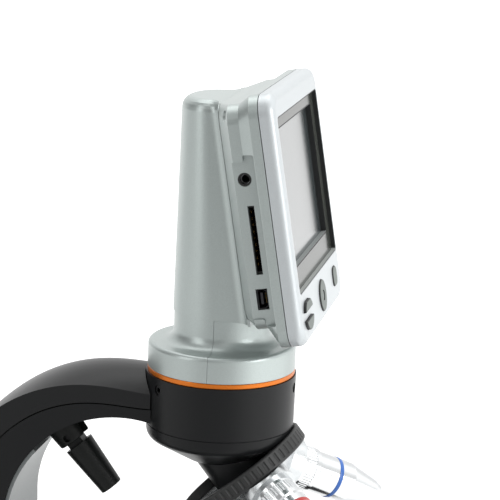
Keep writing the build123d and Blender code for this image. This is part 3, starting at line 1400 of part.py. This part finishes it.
with BuildPart() as filter_wheel:
    with Locations((wheel_x, 0, wheel_high)):
        Cylinder(wheel_radius, wheel_thickness, align=(Align.CENTER, Align.CENTER, Align.MAX))
        Cylinder(stage_screw_radius + running_gap, 10.0, mode=Mode.SUBTRACT)
        with PolarLocations(wheel_radius + 0.5, 48):
            Cylinder(1.0, 10.0, mode=Mode.SUBTRACT)
    for step in range(6):
        turn = radians(180 + 60 * step)
        with Locations((wheel_x + wheel_ring * cos(turn), wheel_ring * sin(turn), wheel_high)):
            Cylinder(8.0 - 1.25 * step, 10.0, mode=Mode.SUBTRACT)
keep(filter_wheel, "filter_wheel")

# Three identical screws: two hold the stage to its bracket, the third is the wheel's pivot
with BuildPart() as stage_screws:
    with Locations((stage_screw_x, 15.0, stage_top - 2.3), (stage_screw_x, -15.0, stage_top - 2.3)):
        Cylinder(3.6, 2.0, align=(Align.CENTER, Align.CENTER, Align.MIN))
        Cylinder(stage_screw_radius, 7.0, align=(Align.CENTER, Align.CENTER, Align.MAX))
    with BuildSketch(Plane.XY.offset(stage_top - 0.3)):
        with Locations((stage_screw_x, 15.0), (stage_screw_x, -15.0)):
            Rectangle(5.4, 0.9)
    extrude(amount=-1.0, mode=Mode.SUBTRACT)
    with Locations((wheel_x, 0, wheel_high - wheel_thickness - slide_gap)):
        Cylinder(3.6, 2.0, align=(Align.CENTER, Align.CENTER, Align.MAX))
        Cylinder(stage_screw_radius, 7.0, align=(Align.CENTER, Align.CENTER, Align.MIN))
    with BuildSketch(Plane.XY.offset(wheel_high - wheel_thickness - slide_gap - 2.0)):
        with Locations((wheel_x, 0)):
            Rectangle(5.4, 0.9)
    extrude(amount=1.0, mode=Mode.SUBTRACT)
keep(stage_screws, "stage_screws")

# Mechanical stage: a bar that moves in X, a slide holder that moves along it in Y, one spring lever
bar_x, bar_half, bar_low, bar_rise = -16.5, 3.5, stage_top + slide_gap, 3.2
edge_y = stage_size / 2 + slide_gap
knob_y = stage_size / 2
bar_start = 1.0 - stage_size / 2
holder_start, holder_end = 3.0 - stage_size / 2, stage_size / 2 + 0.4
lever_y = stage_size / 2 - lever_inset
with BuildPart() as cross_bar:
    with Locations((bar_x, bar_start, bar_low)):
        Box(2 * bar_half, edge_y + 4.0 - bar_start, bar_rise, align=(Align.CENTER, Align.MIN, Align.MIN))
    with Locations((bar_x, edge_y, bar_low + bar_rise)):
        Box(2 * bar_half, 4.0, 20.0, align=(Align.CENTER, Align.MIN, Align.MAX))
    with Locations((bar_x, edge_y + 4.0, bar_low + bar_rise - 20.0)):
        Box(16.0, 12.0, 4.0, align=(Align.CENTER, Align.MAX, Align.MIN))
    with Locations((bar_x, knob_y, bar_low + bar_rise - 20.0)):
        Cylinder(2.0 + running_gap, 20.0, mode=Mode.SUBTRACT)
keep(cross_bar, "cross_bar")

holder_low = bar_low + bar_rise + slide_gap
with BuildPart() as slide_holder:
    with Locations((bar_x, 0, holder_low)):
        Box(2 * bar_half + 4.0, 40.0, 2.4, align=(Align.CENTER, Align.CENTER, Align.MIN))
    with Locations((bar_x + bar_half + slide_gap, holder_start, stage_top + slide_gap)):
        Box(
            1.7, holder_end - holder_start, holder_low + 2.4 - stage_top - slide_gap,
            align=(Align.MIN, Align.MIN, Align.MIN),
        )
    with Locations((bar_x + bar_half + slide_gap, holder_start, stage_top + slide_gap)):
        Box(30.0, 3.6, 2.4, align=(Align.MIN, Align.MIN, Align.MIN))
    with Locations((bar_x + bar_half + slide_gap, holder_end, stage_top + slide_gap)):
        Box(8.6, 7.0, 1.4, align=(Align.MIN, Align.MAX, Align.MIN))
    with Locations((lever_x, lever_y, stage_top + slide_gap)):
        Cylinder(1.3, 4.4, align=(Align.CENTER, Align.CENTER, Align.MIN))
keep(slide_holder, "slide_holder")

with BuildPart() as clip_lever:
    with BuildSketch(Plane.XY.offset(stage_top + slide_gap + 1.4 + 0.1)):
        with Locations((lever_x, lever_y)):
            Circle(3.0)
        with BuildLine():
            Polyline(
                (lever_x - 2.0, lever_y), (lever_x + 2.0, lever_y), (lever_x + 20.0, lever_y - 2.2),
                (lever_x + 20.5, lever_y), (lever_x + 2.0, lever_y + 2.6), close=True,
            )
        make_face()
        with Locations((lever_x, lever_y)):
            Circle(1.3 + running_gap, mode=Mode.SUBTRACT)
    extrude(amount=1.8)
keep(clip_lever, "clip_lever")

knob_low = bar_low + bar_rise - 20.0
with BuildPart() as y_knob:
    with Locations((bar_x, knob_y, knob_low - slide_gap)):
        Cylinder(9.0, 8.0, align=(Align.CENTER, Align.CENTER, Align.MAX))
        with PolarLocations(9.3, 32):
            Cylinder(0.8, 8.0, align=(Align.CENTER, Align.CENTER, Align.MAX), mode=Mode.SUBTRACT)
        Cylinder(2.0 + running_gap, 30.0, mode=Mode.SUBTRACT)
keep(y_knob, "y_knob")

with BuildPart() as x_knob:
    with Locations((bar_x, knob_y, knob_low - 2 * slide_gap - 8.0)):
        Cylinder(8.0, 9.0, align=(Align.CENTER, Align.CENTER, Align.MAX))
        with PolarLocations(8.3, 28):
            Cylinder(0.8, 9.0, align=(Align.CENTER, Align.CENTER, Align.MAX), mode=Mode.SUBTRACT)
    with Locations((bar_x, knob_y, knob_low - 2 * slide_gap - 8.0)):
        Cylinder(2.0, 15.0, align=(Align.CENTER, Align.CENTER, Align.MIN))
keep(x_knob, "x_knob")
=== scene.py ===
"""Looks for the display microscope: materials, small trim, soft studio light and the camera."""
import json
import math
from itertools import product

import bpy
import bmesh
from mathutils import Matrix, Vector


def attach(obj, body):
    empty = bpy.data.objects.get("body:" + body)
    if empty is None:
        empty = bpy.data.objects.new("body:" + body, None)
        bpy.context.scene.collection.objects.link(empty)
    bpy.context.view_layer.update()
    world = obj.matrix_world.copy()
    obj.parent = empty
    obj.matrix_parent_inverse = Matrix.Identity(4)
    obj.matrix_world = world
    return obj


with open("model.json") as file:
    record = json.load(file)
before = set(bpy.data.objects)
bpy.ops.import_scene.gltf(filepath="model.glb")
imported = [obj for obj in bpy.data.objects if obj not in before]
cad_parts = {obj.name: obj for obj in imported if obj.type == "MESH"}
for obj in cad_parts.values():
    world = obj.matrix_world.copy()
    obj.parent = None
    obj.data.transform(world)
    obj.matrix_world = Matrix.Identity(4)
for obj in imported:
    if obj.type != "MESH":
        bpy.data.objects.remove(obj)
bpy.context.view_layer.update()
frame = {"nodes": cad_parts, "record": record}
nodes = frame["nodes"]

# ---------------------------------------------------------------- sizes (mm) shared with the solids
SHIFT = 29.5                    # optical axis to the middle of the outline
JOINT = 206.0                   # height of the joint ring's underside
CROSS_DROP = 28.2               # all objective axes cross this far below it
SEAT_RADIUS = 36.0              # objective shoulders, from the same point
PARFOCAL = 45.0                 # from a shoulder to the top of the slide
SLIDE_GLASS = 1.2
STAGE_TOP = JOINT - CROSS_DROP - SEAT_RADIUS - PARFOCAL - SLIDE_GLASS
FOCUS_X, FOCUS_Z = -93.2, 76.0  # the focus knobs' axis
TILT = math.radians(9.774)      # the display leans back
DISPLAY = Vector((32.16, 0.0, JOINT + 75.0))
ACROSS = Vector((0, 1, 0))
UP = Vector((-math.sin(TILT), 0, math.cos(TILT)))
OUT = Vector((math.cos(TILT), 0, math.sin(TILT)))


def mm(x, y, z):
    """A point in the head's millimetres, in the frame's metres."""
    return Vector((x + SHIFT, y, z)) / 1000


def on_display(u, v, w):
    """A point across, up and in front of the display, in the frame's metres."""
    p = DISPLAY + ACROSS * u + UP * v + OUT * w
    return mm(p.x, p.y, p.z)


def srgb(*channels):
    """A colour as it is seen, 0 to 255, in Blender's linear values."""
    shares = [channel / 255 for channel in channels]
    return tuple(s / 12.92 if s <= 0.04045 else ((s + 0.055) / 1.055) ** 2.4 for s in shares) + (1.0,)


# ---------------------------------------------------------------- shader nodes
def set_inputs(node, **values):
    """Set a node's inputs by name, with _ for each space."""
    for socket, value in values.items():
        node.inputs[socket.replace("_", " ")].default_value = value


def add_node(tree, kind, operation=None, **values):
    """A new node, with its operation and the values of its inputs."""
    made = tree.nodes.new(kind)
    if operation:
        made.operation = operation
    set_inputs(made, **values)
    return made


def maths(tree, operation, first, second):
    """Two values put together, each an output of a node or a number."""
    made = add_node(tree, "ShaderNodeMath", operation)
    for socket, value in zip(made.inputs, (first, second)):
        if isinstance(value, float):
            socket.default_value = value
        else:
            tree.links.new(value, socket)
    return made.outputs[0]


def ramp(tree, value, start, end, low, high, smooth=False):
    """Low up to a start, high from an end, and in between on the way from one to the other."""
    made = add_node(tree, "ShaderNodeMapRange", From_Min=start, From_Max=end, To_Min=low, To_Max=high)
    if smooth:
        made.interpolation_type = "SMOOTHSTEP"
    tree.links.new(value, made.inputs["Value"])
    return made.outputs["Result"]


def along(tree, vector, direction):
    """How far a vector goes along a direction."""
    made = add_node(tree, "ShaderNodeVectorMath", "DOT_PRODUCT")
    made.inputs[1].default_value = direction
    tree.links.new(vector, made.inputs[0])
    return made.outputs["Value"]


def fine_noise(tree, size, detail):
    """Noise that is fixed to the piece."""
    made = add_node(tree, "ShaderNodeTexNoise", Scale=size, Detail=detail)
    tree.links.new(add_node(tree, "ShaderNodeTexCoord").outputs["Object"], made.inputs["Vector"])
    return made.outputs["Fac"]


def colour_by(tree, share, colour, other):
    """Give the shader one colour where the share is 0 and the other where it is 1."""
    pick = tree.nodes.new("ShaderNodeMix")
    pick.data_type = "RGBA"
    set_inputs(pick, A=colour, B=other)
    tree.links.new(share, pick.inputs["Factor"])
    tree.links.new(pick.outputs["Result"], tree.nodes["Principled BSDF"].inputs["Base Color"])


def seen_directly(tree, rays):
    """1 for what the camera sees, also through glass."""
    return maths(tree, "MAXIMUM", rays["Is Camera Ray"], rays["Is Transmission Ray"])


# ---------------------------------------------------------------- kinds of material
RELIEF = 0.0002                 # metres that a bump of full strength stands up
FACING = (0.55, 0.9)            # cosines at which a face begins to look along a direction, and fully does


def new_material(name):
    """A material with the nodes that Blender gives it."""
    made = bpy.data.materials.new(name)
    made.use_nodes = True
    return made


def material(name, colour, rough=0.5, metal=0.0, coat=0.0, grain=0.0, grain_size=900.0, bump=0.0,
             bump_size=1200.0, specular=0.5, coat_rough=0.1):
    """A plain surface: one colour with a little grain in it, and a fine bump."""
    made = new_material(name)
    tree = made.node_tree
    link = tree.links.new
    shader = tree.nodes["Principled BSDF"]
    set_inputs(shader, Base_Color=colour, Roughness=rough, Metallic=metal, Coat_Weight=coat,
               Coat_Roughness=coat_rough, Specular_IOR_Level=specular)
    if grain:
        mottle = tree.nodes.new("ShaderNodeValToRGB")
        low, high = mottle.color_ramp.elements
        low.position, high.position = 0.3, 0.7
        low.color = tuple(c * (1 - grain) for c in colour[:3]) + (1.0,)
        high.color = tuple(min(1.0, c * (1 + grain)) for c in colour[:3]) + (1.0,)
        link(fine_noise(tree, grain_size, 3.0), mottle.inputs["Fac"])
        link(mottle.outputs["Color"], shader.inputs["Base Color"])
    if bump:
        lift = add_node(tree, "ShaderNodeBump", Strength=bump, Distance=RELIEF)
        link(fine_noise(tree, bump_size, 2.0), lift.inputs["Height"])
        link(lift.outputs["Normal"], shader.inputs["Normal"])
    return made


def glass(name, colour, rough=0.0):
    """Clear glass, or frosted glass where it is rough."""
    made = new_material(name)
    set_inputs(made.node_tree.nodes["Principled BSDF"], Base_Color=colour, Roughness=rough,
               Transmission_Weight=1.0, IOR=1.5)
    return made


def painted_side_shade(name, top, side, toward):
    """One colour on the faces that look along a direction of the piece's own frame, and painted shade, a
    second and darker colour, on the rest.
    """
    made = material(name, top)
    tree = made.node_tree
    normal = add_node(tree, "ShaderNodeTexCoord").outputs["Normal"]
    facing = ramp(tree, along(tree, normal, toward), *FACING, 0.0, 1.0, smooth=True)
    colour_by(tree, facing, side, top)
    return made


def by_height(name, below, above, height):
    """One colour below a height (mm) in the piece's own frame, another above it."""
    made = material(name, above, rough=0.4)
    tree = made.node_tree
    split = add_node(tree, "ShaderNodeSeparateXYZ")
    tree.links.new(add_node(tree, "ShaderNodeTexCoord").outputs["Object"], split.inputs[0])
    colour_by(tree, maths(tree, "GREATER_THAN", split.outputs["Z"], height / 1000), below, above)
    return made


# ---------------------------------------------------------------- the materials
SOLDER_GREEN = srgb(22, 84, 48)
looks = {
    "silver_shell": material("silver_paint", srgb(168, 176, 174), rough=0.34, metal=0.62,
                             grain=0.05, grain_size=2600, bump=0.05, bump_size=3000),
    "silver_bezel": material("pale_silver_paint", srgb(188, 193, 195), rough=0.36, metal=0.42,
                             grain=0.03, grain_size=2600, bump=0.03, bump_size=3000),
    "surround_grey": material("display_mask", srgb(60, 63, 59), rough=0.16,
                              grain=0.04, grain_size=2000, specular=0.22),
    "display_glass": material("display_surface", srgb(58, 64, 65), rough=0.18,
                              coat=0.55, coat_rough=0.14),
    "board_green": material("solder_mask", SOLDER_GREEN, rough=0.35, grain=0.10, grain_size=700),
    "soft_black": material("silicone", srgb(30, 31, 31), rough=0.6, bump=0.05),
    # painted shade: the buttons' sides are near black, all but the faces that look out of the display
    "button_grey": painted_side_shade("button_grey", srgb(96, 103, 99), srgb(12, 14, 13), OUT),
    "socket_black": material("socket_black", srgb(14, 15, 14), rough=0.38, bump=0.05),
    # nickel plating, darkened: painted shade for the shells that sit deep in the sockets
    "socket_metal": material("nickel_painted_shade", srgb(58, 58, 60), rough=0.30, metal=0.9),
    "orange_ring": material("orange_anodised", srgb(202, 107, 20), rough=0.30, metal=0.55,
                            grain=0.03),
    "black_paint": material("black_enamel", srgb(21, 22, 23), rough=0.34,
                            bump=0.08, bump_size=1800, specular=0.18),
    "black_plastic": material("black_plastic", srgb(21, 23, 22), rough=0.40,
                              bump=0.10, bump_size=1800, specular=0.18),
    "strip_silver": material("strip_silver", srgb(112, 116, 116), rough=0.36, metal=0.7,
                             grain=0.05),
    "steel": material("screw_steel", srgb(170, 170, 172), rough=0.30, metal=1.0, grain=0.05),
    "turret_silver": material("turned_silver", srgb(196, 199, 200), rough=0.26, metal=0.9,
                              grain=0.04),
    "grip_black": material("grip_rubber", srgb(22, 23, 23), rough=0.5, bump=0.06),
    "objective_chrome": material("objective_chrome", srgb(205, 207, 208), rough=0.14, metal=1.0,
                                 grain=0.02),
    "clear_glass": glass("lens_glass", (0.94, 0.97, 0.98, 1.0)),
    "frosted_glass": glass("frosted_lens", (0.95, 0.96, 0.96, 1.0), rough=0.35),
    "stage_black": material("stage_black", srgb(22, 23, 24), rough=0.42,
                            bump=0.08, bump_size=1800, specular=0.2),
    "rubber_foot": material("foot_rubber", srgb(26, 26, 26), rough=0.7, bump=0.08),
    "knob_black": material("knob_black", srgb(26, 27, 27), rough=0.42, bump=0.05, specular=0.4),
    "bare_aluminium": material("satin_aluminium", srgb(186, 188, 190), rough=0.33, metal=1.0,
                               grain=0.04),
}

# the solids whose look isn't their slot's
BOARD_TOP = 8.7                 # just above the control board's upper face: what stands on it is black
own_looks = {
    "arm_top_cover": material("arm_enamel", srgb(19, 20, 21), rough=0.36,
                              bump=0.08, bump_size=1800, specular=0.24),
    "control_board": by_height("control_board_parts", SOLDER_GREEN, srgb(21, 22, 22), BOARD_TOP),
    "set_screws": material("black_oxide", srgb(46, 46, 47), rough=0.34, metal=0.8, grain=0.05),
}

for part in frame["record"]["subparts"]:
    solid = nodes[part["node"]]
    look = own_looks.get(part["node"], looks[part["material_slot"]])
    if solid.material_slots:
        solid.material_slots[0].material = look
    else:
        solid.data.materials.append(look)


# ---------------------------------------------------------------- helpers for the trim
LEAST_CORNER = 0.3              # mm, on the inside of a lining
LINING_SLOPE = 0.1              # mm that a lining's front rises inwards
BLOCK_BEVEL = 0.00002           # metres
CUBE_FACES = ((0, 1, 3, 2), (4, 6, 7, 5), (0, 4, 5, 1), (2, 3, 7, 6), (0, 2, 6, 4), (1, 5, 7, 3))


def add_object(name, data):
    """A new object in the scene."""
    made = bpy.data.objects.new(name, data)
    bpy.context.scene.collection.objects.link(made)
    return made


def add_piece(name, shape, body, look, smooth):
    """Turn a bmesh into a piece of the object, on a body, with its material."""
    mesh = bpy.data.meshes.new(name)
    shape.to_mesh(mesh)
    shape.free()
    mesh.materials.append(look)
    for face in mesh.polygons:
        face.use_smooth = smooth
    piece = add_object(name, mesh)
    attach(piece, body)


def closed_skin(rows):
    """Faces from each row of points to the next, and from the last row to the first."""
    shape = bmesh.new()
    rings = [[shape.verts.new(point) for point in row] for row in rows]
    count = len(rings[0])
    for here, there in zip(rings, rings[1:] + rings[:1]):
        for i in range(count):
            after = (i + 1) % count
            shape.faces.new((here[i], here[after], there[after], there[i]))
    bmesh.ops.recalc_face_normals(shape, faces=shape.faces)
    return shape


def rounded_loop(half, top, bottom, corner, steps=6):
    """Points of a rounded rectangle on the display's plane, anticlockwise, in millimetres."""
    corners = ((half, top, 0), (-half, top, 90), (-half, -bottom, 180), (half, -bottom, 270))
    points = []
    for u, v, start in corners:
        middle_u, middle_v = u - math.copysign(corner, u), v - math.copysign(corner, v)
        for step in range(steps + 1):
            turn = math.radians(start + 90 * step / steps)
            points.append((middle_u + corner * math.cos(turn), middle_v + corner * math.sin(turn)))
    return points


def lining(name, half, top, bottom, corner, back, front, wall, look):
    """A thin frame that lines an opening in front of the display, in millimetres."""
    outer = rounded_loop(half, top, bottom, corner)
    inner = rounded_loop(half - wall, top - wall, bottom - wall, max(LEAST_CORNER, corner - wall))
    loops = [(outer, back), (outer, front - LINING_SLOPE), (inner, front), (inner, back)]
    shape = closed_skin([[on_display(u, v, w) for u, v in loop] for loop, w in loops])
    add_piece(name, shape, "camera_head", look, smooth=False)


def lathe(name, profile, origin, axis, body, look, segments=96):
    """A closed profile of (radius, distance along the axis), in millimetres, turned round an axis."""
    out = Vector(axis).normalized()
    side = out.orthogonal().normalized()
    other = out.cross(side)
    turns = [2 * math.pi * i / segments for i in range(segments)]
    spokes = [side * math.cos(turn) + other * math.sin(turn) for turn in turns]
    shape = closed_skin([[origin + (out * reach + spoke * radius) / 1000 for spoke in spokes]
                         for radius, reach in profile])
    add_piece(name, shape, body, look, smooth=True)


def blocks(name, spots, body, look, axes):
    """A group of small blocks, each (centre, its sizes in mm along the three directions)."""
    shape = bmesh.new()
    for centre, size in spots:
        corners = []
        for shares in product((-0.5, 0.5), repeat=3):
            steps = [axis * (share * length) for axis, share, length in zip(axes, shares, size)]
            corners.append(shape.verts.new(centre + sum(steps, Vector()) / 1000))
        for face in CUBE_FACES:
            shape.faces.new([corners[i] for i in face])
    bmesh.ops.recalc_face_normals(shape, faces=shape.faces)
    bmesh.ops.bevel(shape, geom=list(shape.edges), offset=BLOCK_BEVEL, segments=1, affect="EDGES")
    add_piece(name, shape, body, look, smooth=False)


# ---------------------------------------------------------------- trim round the display
# painted shade: the walls of the display's openings are near black, all but the walls that face up
SHADE = srgb(16, 18, 19)
lining("window_shade_lining", half=41.84, top=34.33, bottom=32.48, corner=1.98, back=-1.78, front=-0.12,
       wall=0.4, look=painted_side_shade("window_lining", srgb(168, 172, 170), SHADE, UP))
lining("display_shade_lining", half=35.48, top=29.58, bottom=23.58, corner=0.5, back=-3.86, front=-1.86,
       wall=0.5, look=painted_side_shade("display_lining", srgb(140, 145, 144), SHADE, UP))

# ---------------------------------------------------------------- trim in the sockets
PORT_FACE = -41.5               # the ports' face, across the display
PORT_AXES = (UP, OUT, -ACROSS)
USB_V, USB_W = -32.65, -14.55   # middle of each port, up and in front of the display
CARD_V, CARD_W = -10.2, -14.3
JACK_V, JACK_W = 12.8, -15.2
USB_CONTACT, USB_PITCH = (0.35, 0.12, 5.0), 0.8
CARD_CONTACT, CARD_PITCH = (1.1, 0.10, 7.0), 2.5
GOLD = material("contact_gold", srgb(206, 168, 96), rough=0.25, metal=1.0)
usb_spots = [(on_display(PORT_FACE + 4.6, USB_V + USB_PITCH * k, USB_W + 1.02), USB_CONTACT)
             for k in range(-2, 3)]
card_spots = [(on_display(PORT_FACE + 8.5, CARD_V + CARD_PITCH * k, CARD_W - 1.06), CARD_CONTACT)
              for k in range(-4, 5)]
blocks("usb_contacts", usb_spots, "camera_head", GOLD, PORT_AXES)
blocks("card_contacts", card_spots, "camera_head", GOLD, PORT_AXES)
JACK_SPRING = [(1.78, 0.0), (1.78, 0.5), (1.66, 0.62), (1.55, 0.5), (1.55, 0.0), (1.66, -0.12)]
lathe("jack_spring_ring", JACK_SPRING, on_display(PORT_FACE + 2.6, JACK_V, JACK_W), -ACROSS,
      "camera_head", looks["steel"])

# ---------------------------------------------------------------- colour bands on the objectives
CROSS = mm(0, 0, JOINT - CROSS_DROP)
TURRET_TILT = math.radians(39.0)
TURRET_X = Vector((math.cos(TURRET_TILT), 0, math.sin(TURRET_TILT)))
TURRET_Y = Vector((0, -1, 0))
TURRET_Z = Vector((math.sin(TURRET_TILT), 0, -math.cos(TURRET_TILT)))
SLEEVE = 8.6                    # radius of an objective where its band sits
BAND_PROFILE = [(SLEEVE - 0.3, -0.9), (SLEEVE + 0.06, -0.9), (SLEEVE + 0.12, -0.7),
                (SLEEVE + 0.12, 0.7), (SLEEVE + 0.06, 0.9), (SLEEVE - 0.3, 0.9)]
BANDS = {            # place round the nosepiece (degrees), distance from the shoulder, colour
    "low_power_band": (60.0, 13.5, srgb(176, 32, 28)),
    "middle_power_band": (180.0, 16.0, srgb(222, 178, 34)),
    "high_power_band": (300.0, 20.0, srgb(40, 96, 176)),
}
for band, (angle, reach, colour) in BANDS.items():
    spin = math.radians(angle)
    around = TURRET_X * math.cos(spin) + TURRET_Y * math.sin(spin)
    hang = around * math.sin(TURRET_TILT) + TURRET_Z * math.cos(TURRET_TILT)
    lathe(band, BAND_PROFILE, CROSS + hang * (SEAT_RADIUS + reach) / 1000, hang, "nosepiece",
          material(band + "_enamel", colour, rough=0.3))

# ---------------------------------------------------------------- scale on the slide holder
HOLDER_TOP = STAGE_TOP + 6.2    # the lines are half sunk in it
SCALE_X = -11.4                 # where each line begins
SCALE_HALF = 15                 # lines on each side of the middle one, a millimetre apart
LONG_LINE, SHORT_LINE = 3.0, 1.8
LINE_WIDTH, LINE_HEIGHT = 0.16, 0.06
INK = material("scale_ink", srgb(20, 20, 20))
lines = []
for k in range(-SCALE_HALF, SCALE_HALF + 1):
    length = SHORT_LINE if k % 5 else LONG_LINE
    lines.append((mm(SCALE_X - length / 2, k, HOLDER_TOP), (length, LINE_WIDTH, LINE_HEIGHT)))
blocks("holder_scale", lines, "holder", INK,
       (Vector((1, 0, 0)), Vector((0, 1, 0)), Vector((0, 0, 1))))

# ---------------------------------------------------------------- inlays in the focus knobs
INLAY_Y = 40.95                 # where an inlay begins, on each side of the middle
INLAY_PROFILE = [(3.2, 0.0), (11.5, 0.0), (11.7, 0.12), (11.5, 0.25), (3.4, 0.25), (3.2, 0.12)]
SATIN = material("knob_inlay_satin", srgb(96, 98, 98), rough=0.3, metal=0.9)
for inlay, side in (("knob_inlay_near", -1), ("knob_inlay_far", 1)):
    lathe(inlay, INLAY_PROFILE, mm(FOCUS_X, side * INLAY_Y, FOCUS_Z), (0, side, 0), "focus_drive",
          SATIN)

# ---------------------------------------------------------------- floor
FLOOR = 8.0                     # metres from the middle to each side
FLOOR_COLOUR = (0.52, 0.52, 0.52, 1.0)
GLOW_REACH = (0.4, 1.3)         # metres from the middle
GLOW = (0.60, 0.92)             # how bright the floor glows, nearer and farther than those
FLOOR_SHARES = (     # axis of the heading, start and end along it, the glow's share at each
    ("Y", -0.1, 0.5, 0.15, 1.0),        # behind
    ("X", 0.50, 0.92, 0.15, 1.75),      # at the right
    ("X", -0.9, -0.3, 0.65, 0.15),      # at the left
)


def lit_floor():
    """White to the camera and through glass, with the object's shadow kept on it.

    The glow makes up for the lamps' light, which falls off away from the object. Reflections see it
    by heading: brightest at the right, less behind and at the left, and dim at the near side."""
    made = new_material("white_floor")
    tree = made.node_tree
    tree.nodes.clear()
    link = tree.links.new
    point = add_node(tree, "ShaderNodeNewGeometry").outputs["Position"]
    distance = add_node(tree, "ShaderNodeVectorMath", "LENGTH")
    heading = add_node(tree, "ShaderNodeVectorMath", "NORMALIZE")
    split = add_node(tree, "ShaderNodeSeparateXYZ")
    link(point, distance.inputs[0])
    link(point, heading.inputs[0])
    link(heading.outputs["Vector"], split.inputs[0])
    share = 0.0
    for axis, *reach_and_shares in FLOOR_SHARES:
        share = maths(tree, "MAXIMUM", share, ramp(tree, split.outputs[axis], *reach_and_shares))
    rays = add_node(tree, "ShaderNodeLightPath").outputs
    reflected = maths(tree, "MULTIPLY", rays["Is Glossy Ray"], share)
    seen = maths(tree, "MAXIMUM", seen_directly(tree, rays), reflected)
    level = ramp(tree, distance.outputs["Value"], *GLOW_REACH, *GLOW)
    surface = add_node(tree, "ShaderNodeBsdfDiffuse", Color=FLOOR_COLOUR)
    glow = add_node(tree, "ShaderNodeEmission")
    link(maths(tree, "MULTIPLY", seen, level), glow.inputs["Strength"])
    both = add_node(tree, "ShaderNodeAddShader")
    link(surface.outputs[0], both.inputs[0])
    link(glow.outputs[0], both.inputs[1])
    link(both.outputs[0], add_node(tree, "ShaderNodeOutputMaterial").inputs["Surface"])
    return made


floor_mesh = bpy.data.meshes.new("floor")
floor_corners = [(-FLOOR, -FLOOR, 0), (FLOOR, -FLOOR, 0), (FLOOR, FLOOR, 0), (-FLOOR, FLOOR, 0)]
floor_mesh.from_pydata(floor_corners, [], [(0, 1, 2, 3)])
floor_mesh.materials.append(lit_floor())
add_object("floor", floor_mesh)

# ---------------------------------------------------------------- world and lamps
ROOM_LEVEL = 0.07
ROOM_WALLS = (       # direction, where the wall begins and is full along it, how bright
    ((0.95, -0.31, 0.20), 0.15, 0.90, 1.20),
    ((-0.72, -0.66, 0.10), 0.45, 1.00, 0.32),
    ((0, 0.98, 0.2), 0.05, 0.70, 1.40),
    ((0, 0, 1), 0.25, 0.90, 0.55),
)


def studio_world():
    """White to the camera and through glass. For light and reflections it is a pale room, bright behind
    the object and at the right, less so above, and dim at the near left."""
    world = bpy.data.worlds.new("studio")
    bpy.context.scene.world = world
    world.use_nodes = True
    tree = world.node_tree
    tree.nodes.clear()
    link = tree.links.new
    heading = add_node(tree, "ShaderNodeTexCoord").outputs["Generated"]
    level = ROOM_LEVEL
    for direction, start, end, gain in ROOM_WALLS:
        facing = along(tree, heading, Vector(direction).normalized())
        level = maths(tree, "ADD", level, ramp(tree, facing, start, end, 0.0, gain, smooth=True))
    room = add_node(tree, "ShaderNodeBackground")
    link(level, room.inputs["Strength"])
    white = add_node(tree, "ShaderNodeBackground", Color=(1.0, 1.0, 1.0, 1.0))
    mix = add_node(tree, "ShaderNodeMixShader")
    link(seen_directly(tree, add_node(tree, "ShaderNodeLightPath").outputs), mix.inputs["Fac"])
    link(room.outputs[0], mix.inputs[1])
    link(white.outputs[0], mix.inputs[2])
    link(mix.outputs[0], add_node(tree, "ShaderNodeOutputWorld").inputs["Surface"])


def softbox(name, at, toward, width, height, power):
    """A rectangular lamp, in metres and watts, that shines from one point towards another."""
    light = bpy.data.lights.new(name, "AREA")
    light.shape = "RECTANGLE"
    light.size, light.size_y = width, height
    light.energy = power
    lamp = add_object(name, light)
    lamp.location = at
    lamp.rotation_euler = (Vector(toward) - Vector(at)).to_track_quat("-Z", "Y").to_euler()


studio_world()
softbox("key_right", at=(1.5, -0.55, 0.75), toward=(0.03, 0, 0.25), width=0.8, height=1.0, power=11)
softbox("top", at=(-0.1, 0.2, 1.5), toward=(0.03, 0, 0.2), width=1.2, height=1.2, power=7)
softbox("fill_left", at=(-1.0, -1.0, 0.7), toward=(0.03, 0, 0.22), width=0.6, height=1.2, power=5)

# ---------------------------------------------------------------- camera, at the photograph's viewing angle
CAMERA = (156.10, -752.87, 219.83 + JOINT)
YAW, PITCH, ROLL = -0.1918, 0.2187, 0.0359
FOCAL = 2004.33 / 500           # image widths
SENSOR = 36.0                   # mm
forward = Vector((math.sin(YAW) * math.cos(PITCH), math.cos(YAW) * math.cos(PITCH), -math.sin(PITCH)))
level_right = Vector((math.cos(YAW), -math.sin(YAW), 0))
level_up = level_right.cross(forward)
right = math.cos(ROLL) * level_right + math.sin(ROLL) * level_up
up = -math.sin(ROLL) * level_right + math.cos(ROLL) * level_up
turned = Matrix((right, up, -forward)).transposed().to_4x4()
camera_data = bpy.data.cameras.new("camera")
camera_data.sensor_width = SENSOR
camera_data.lens = FOCAL * SENSOR
camera_data.clip_start, camera_data.clip_end = 0.01, 50.0
camera = add_object("camera", camera_data)
camera.matrix_world = Matrix.Translation(mm(*CAMERA)) @ turned
bpy.context.scene.camera = camera
bpy.context.scene.view_settings.view_transform = "Standard"
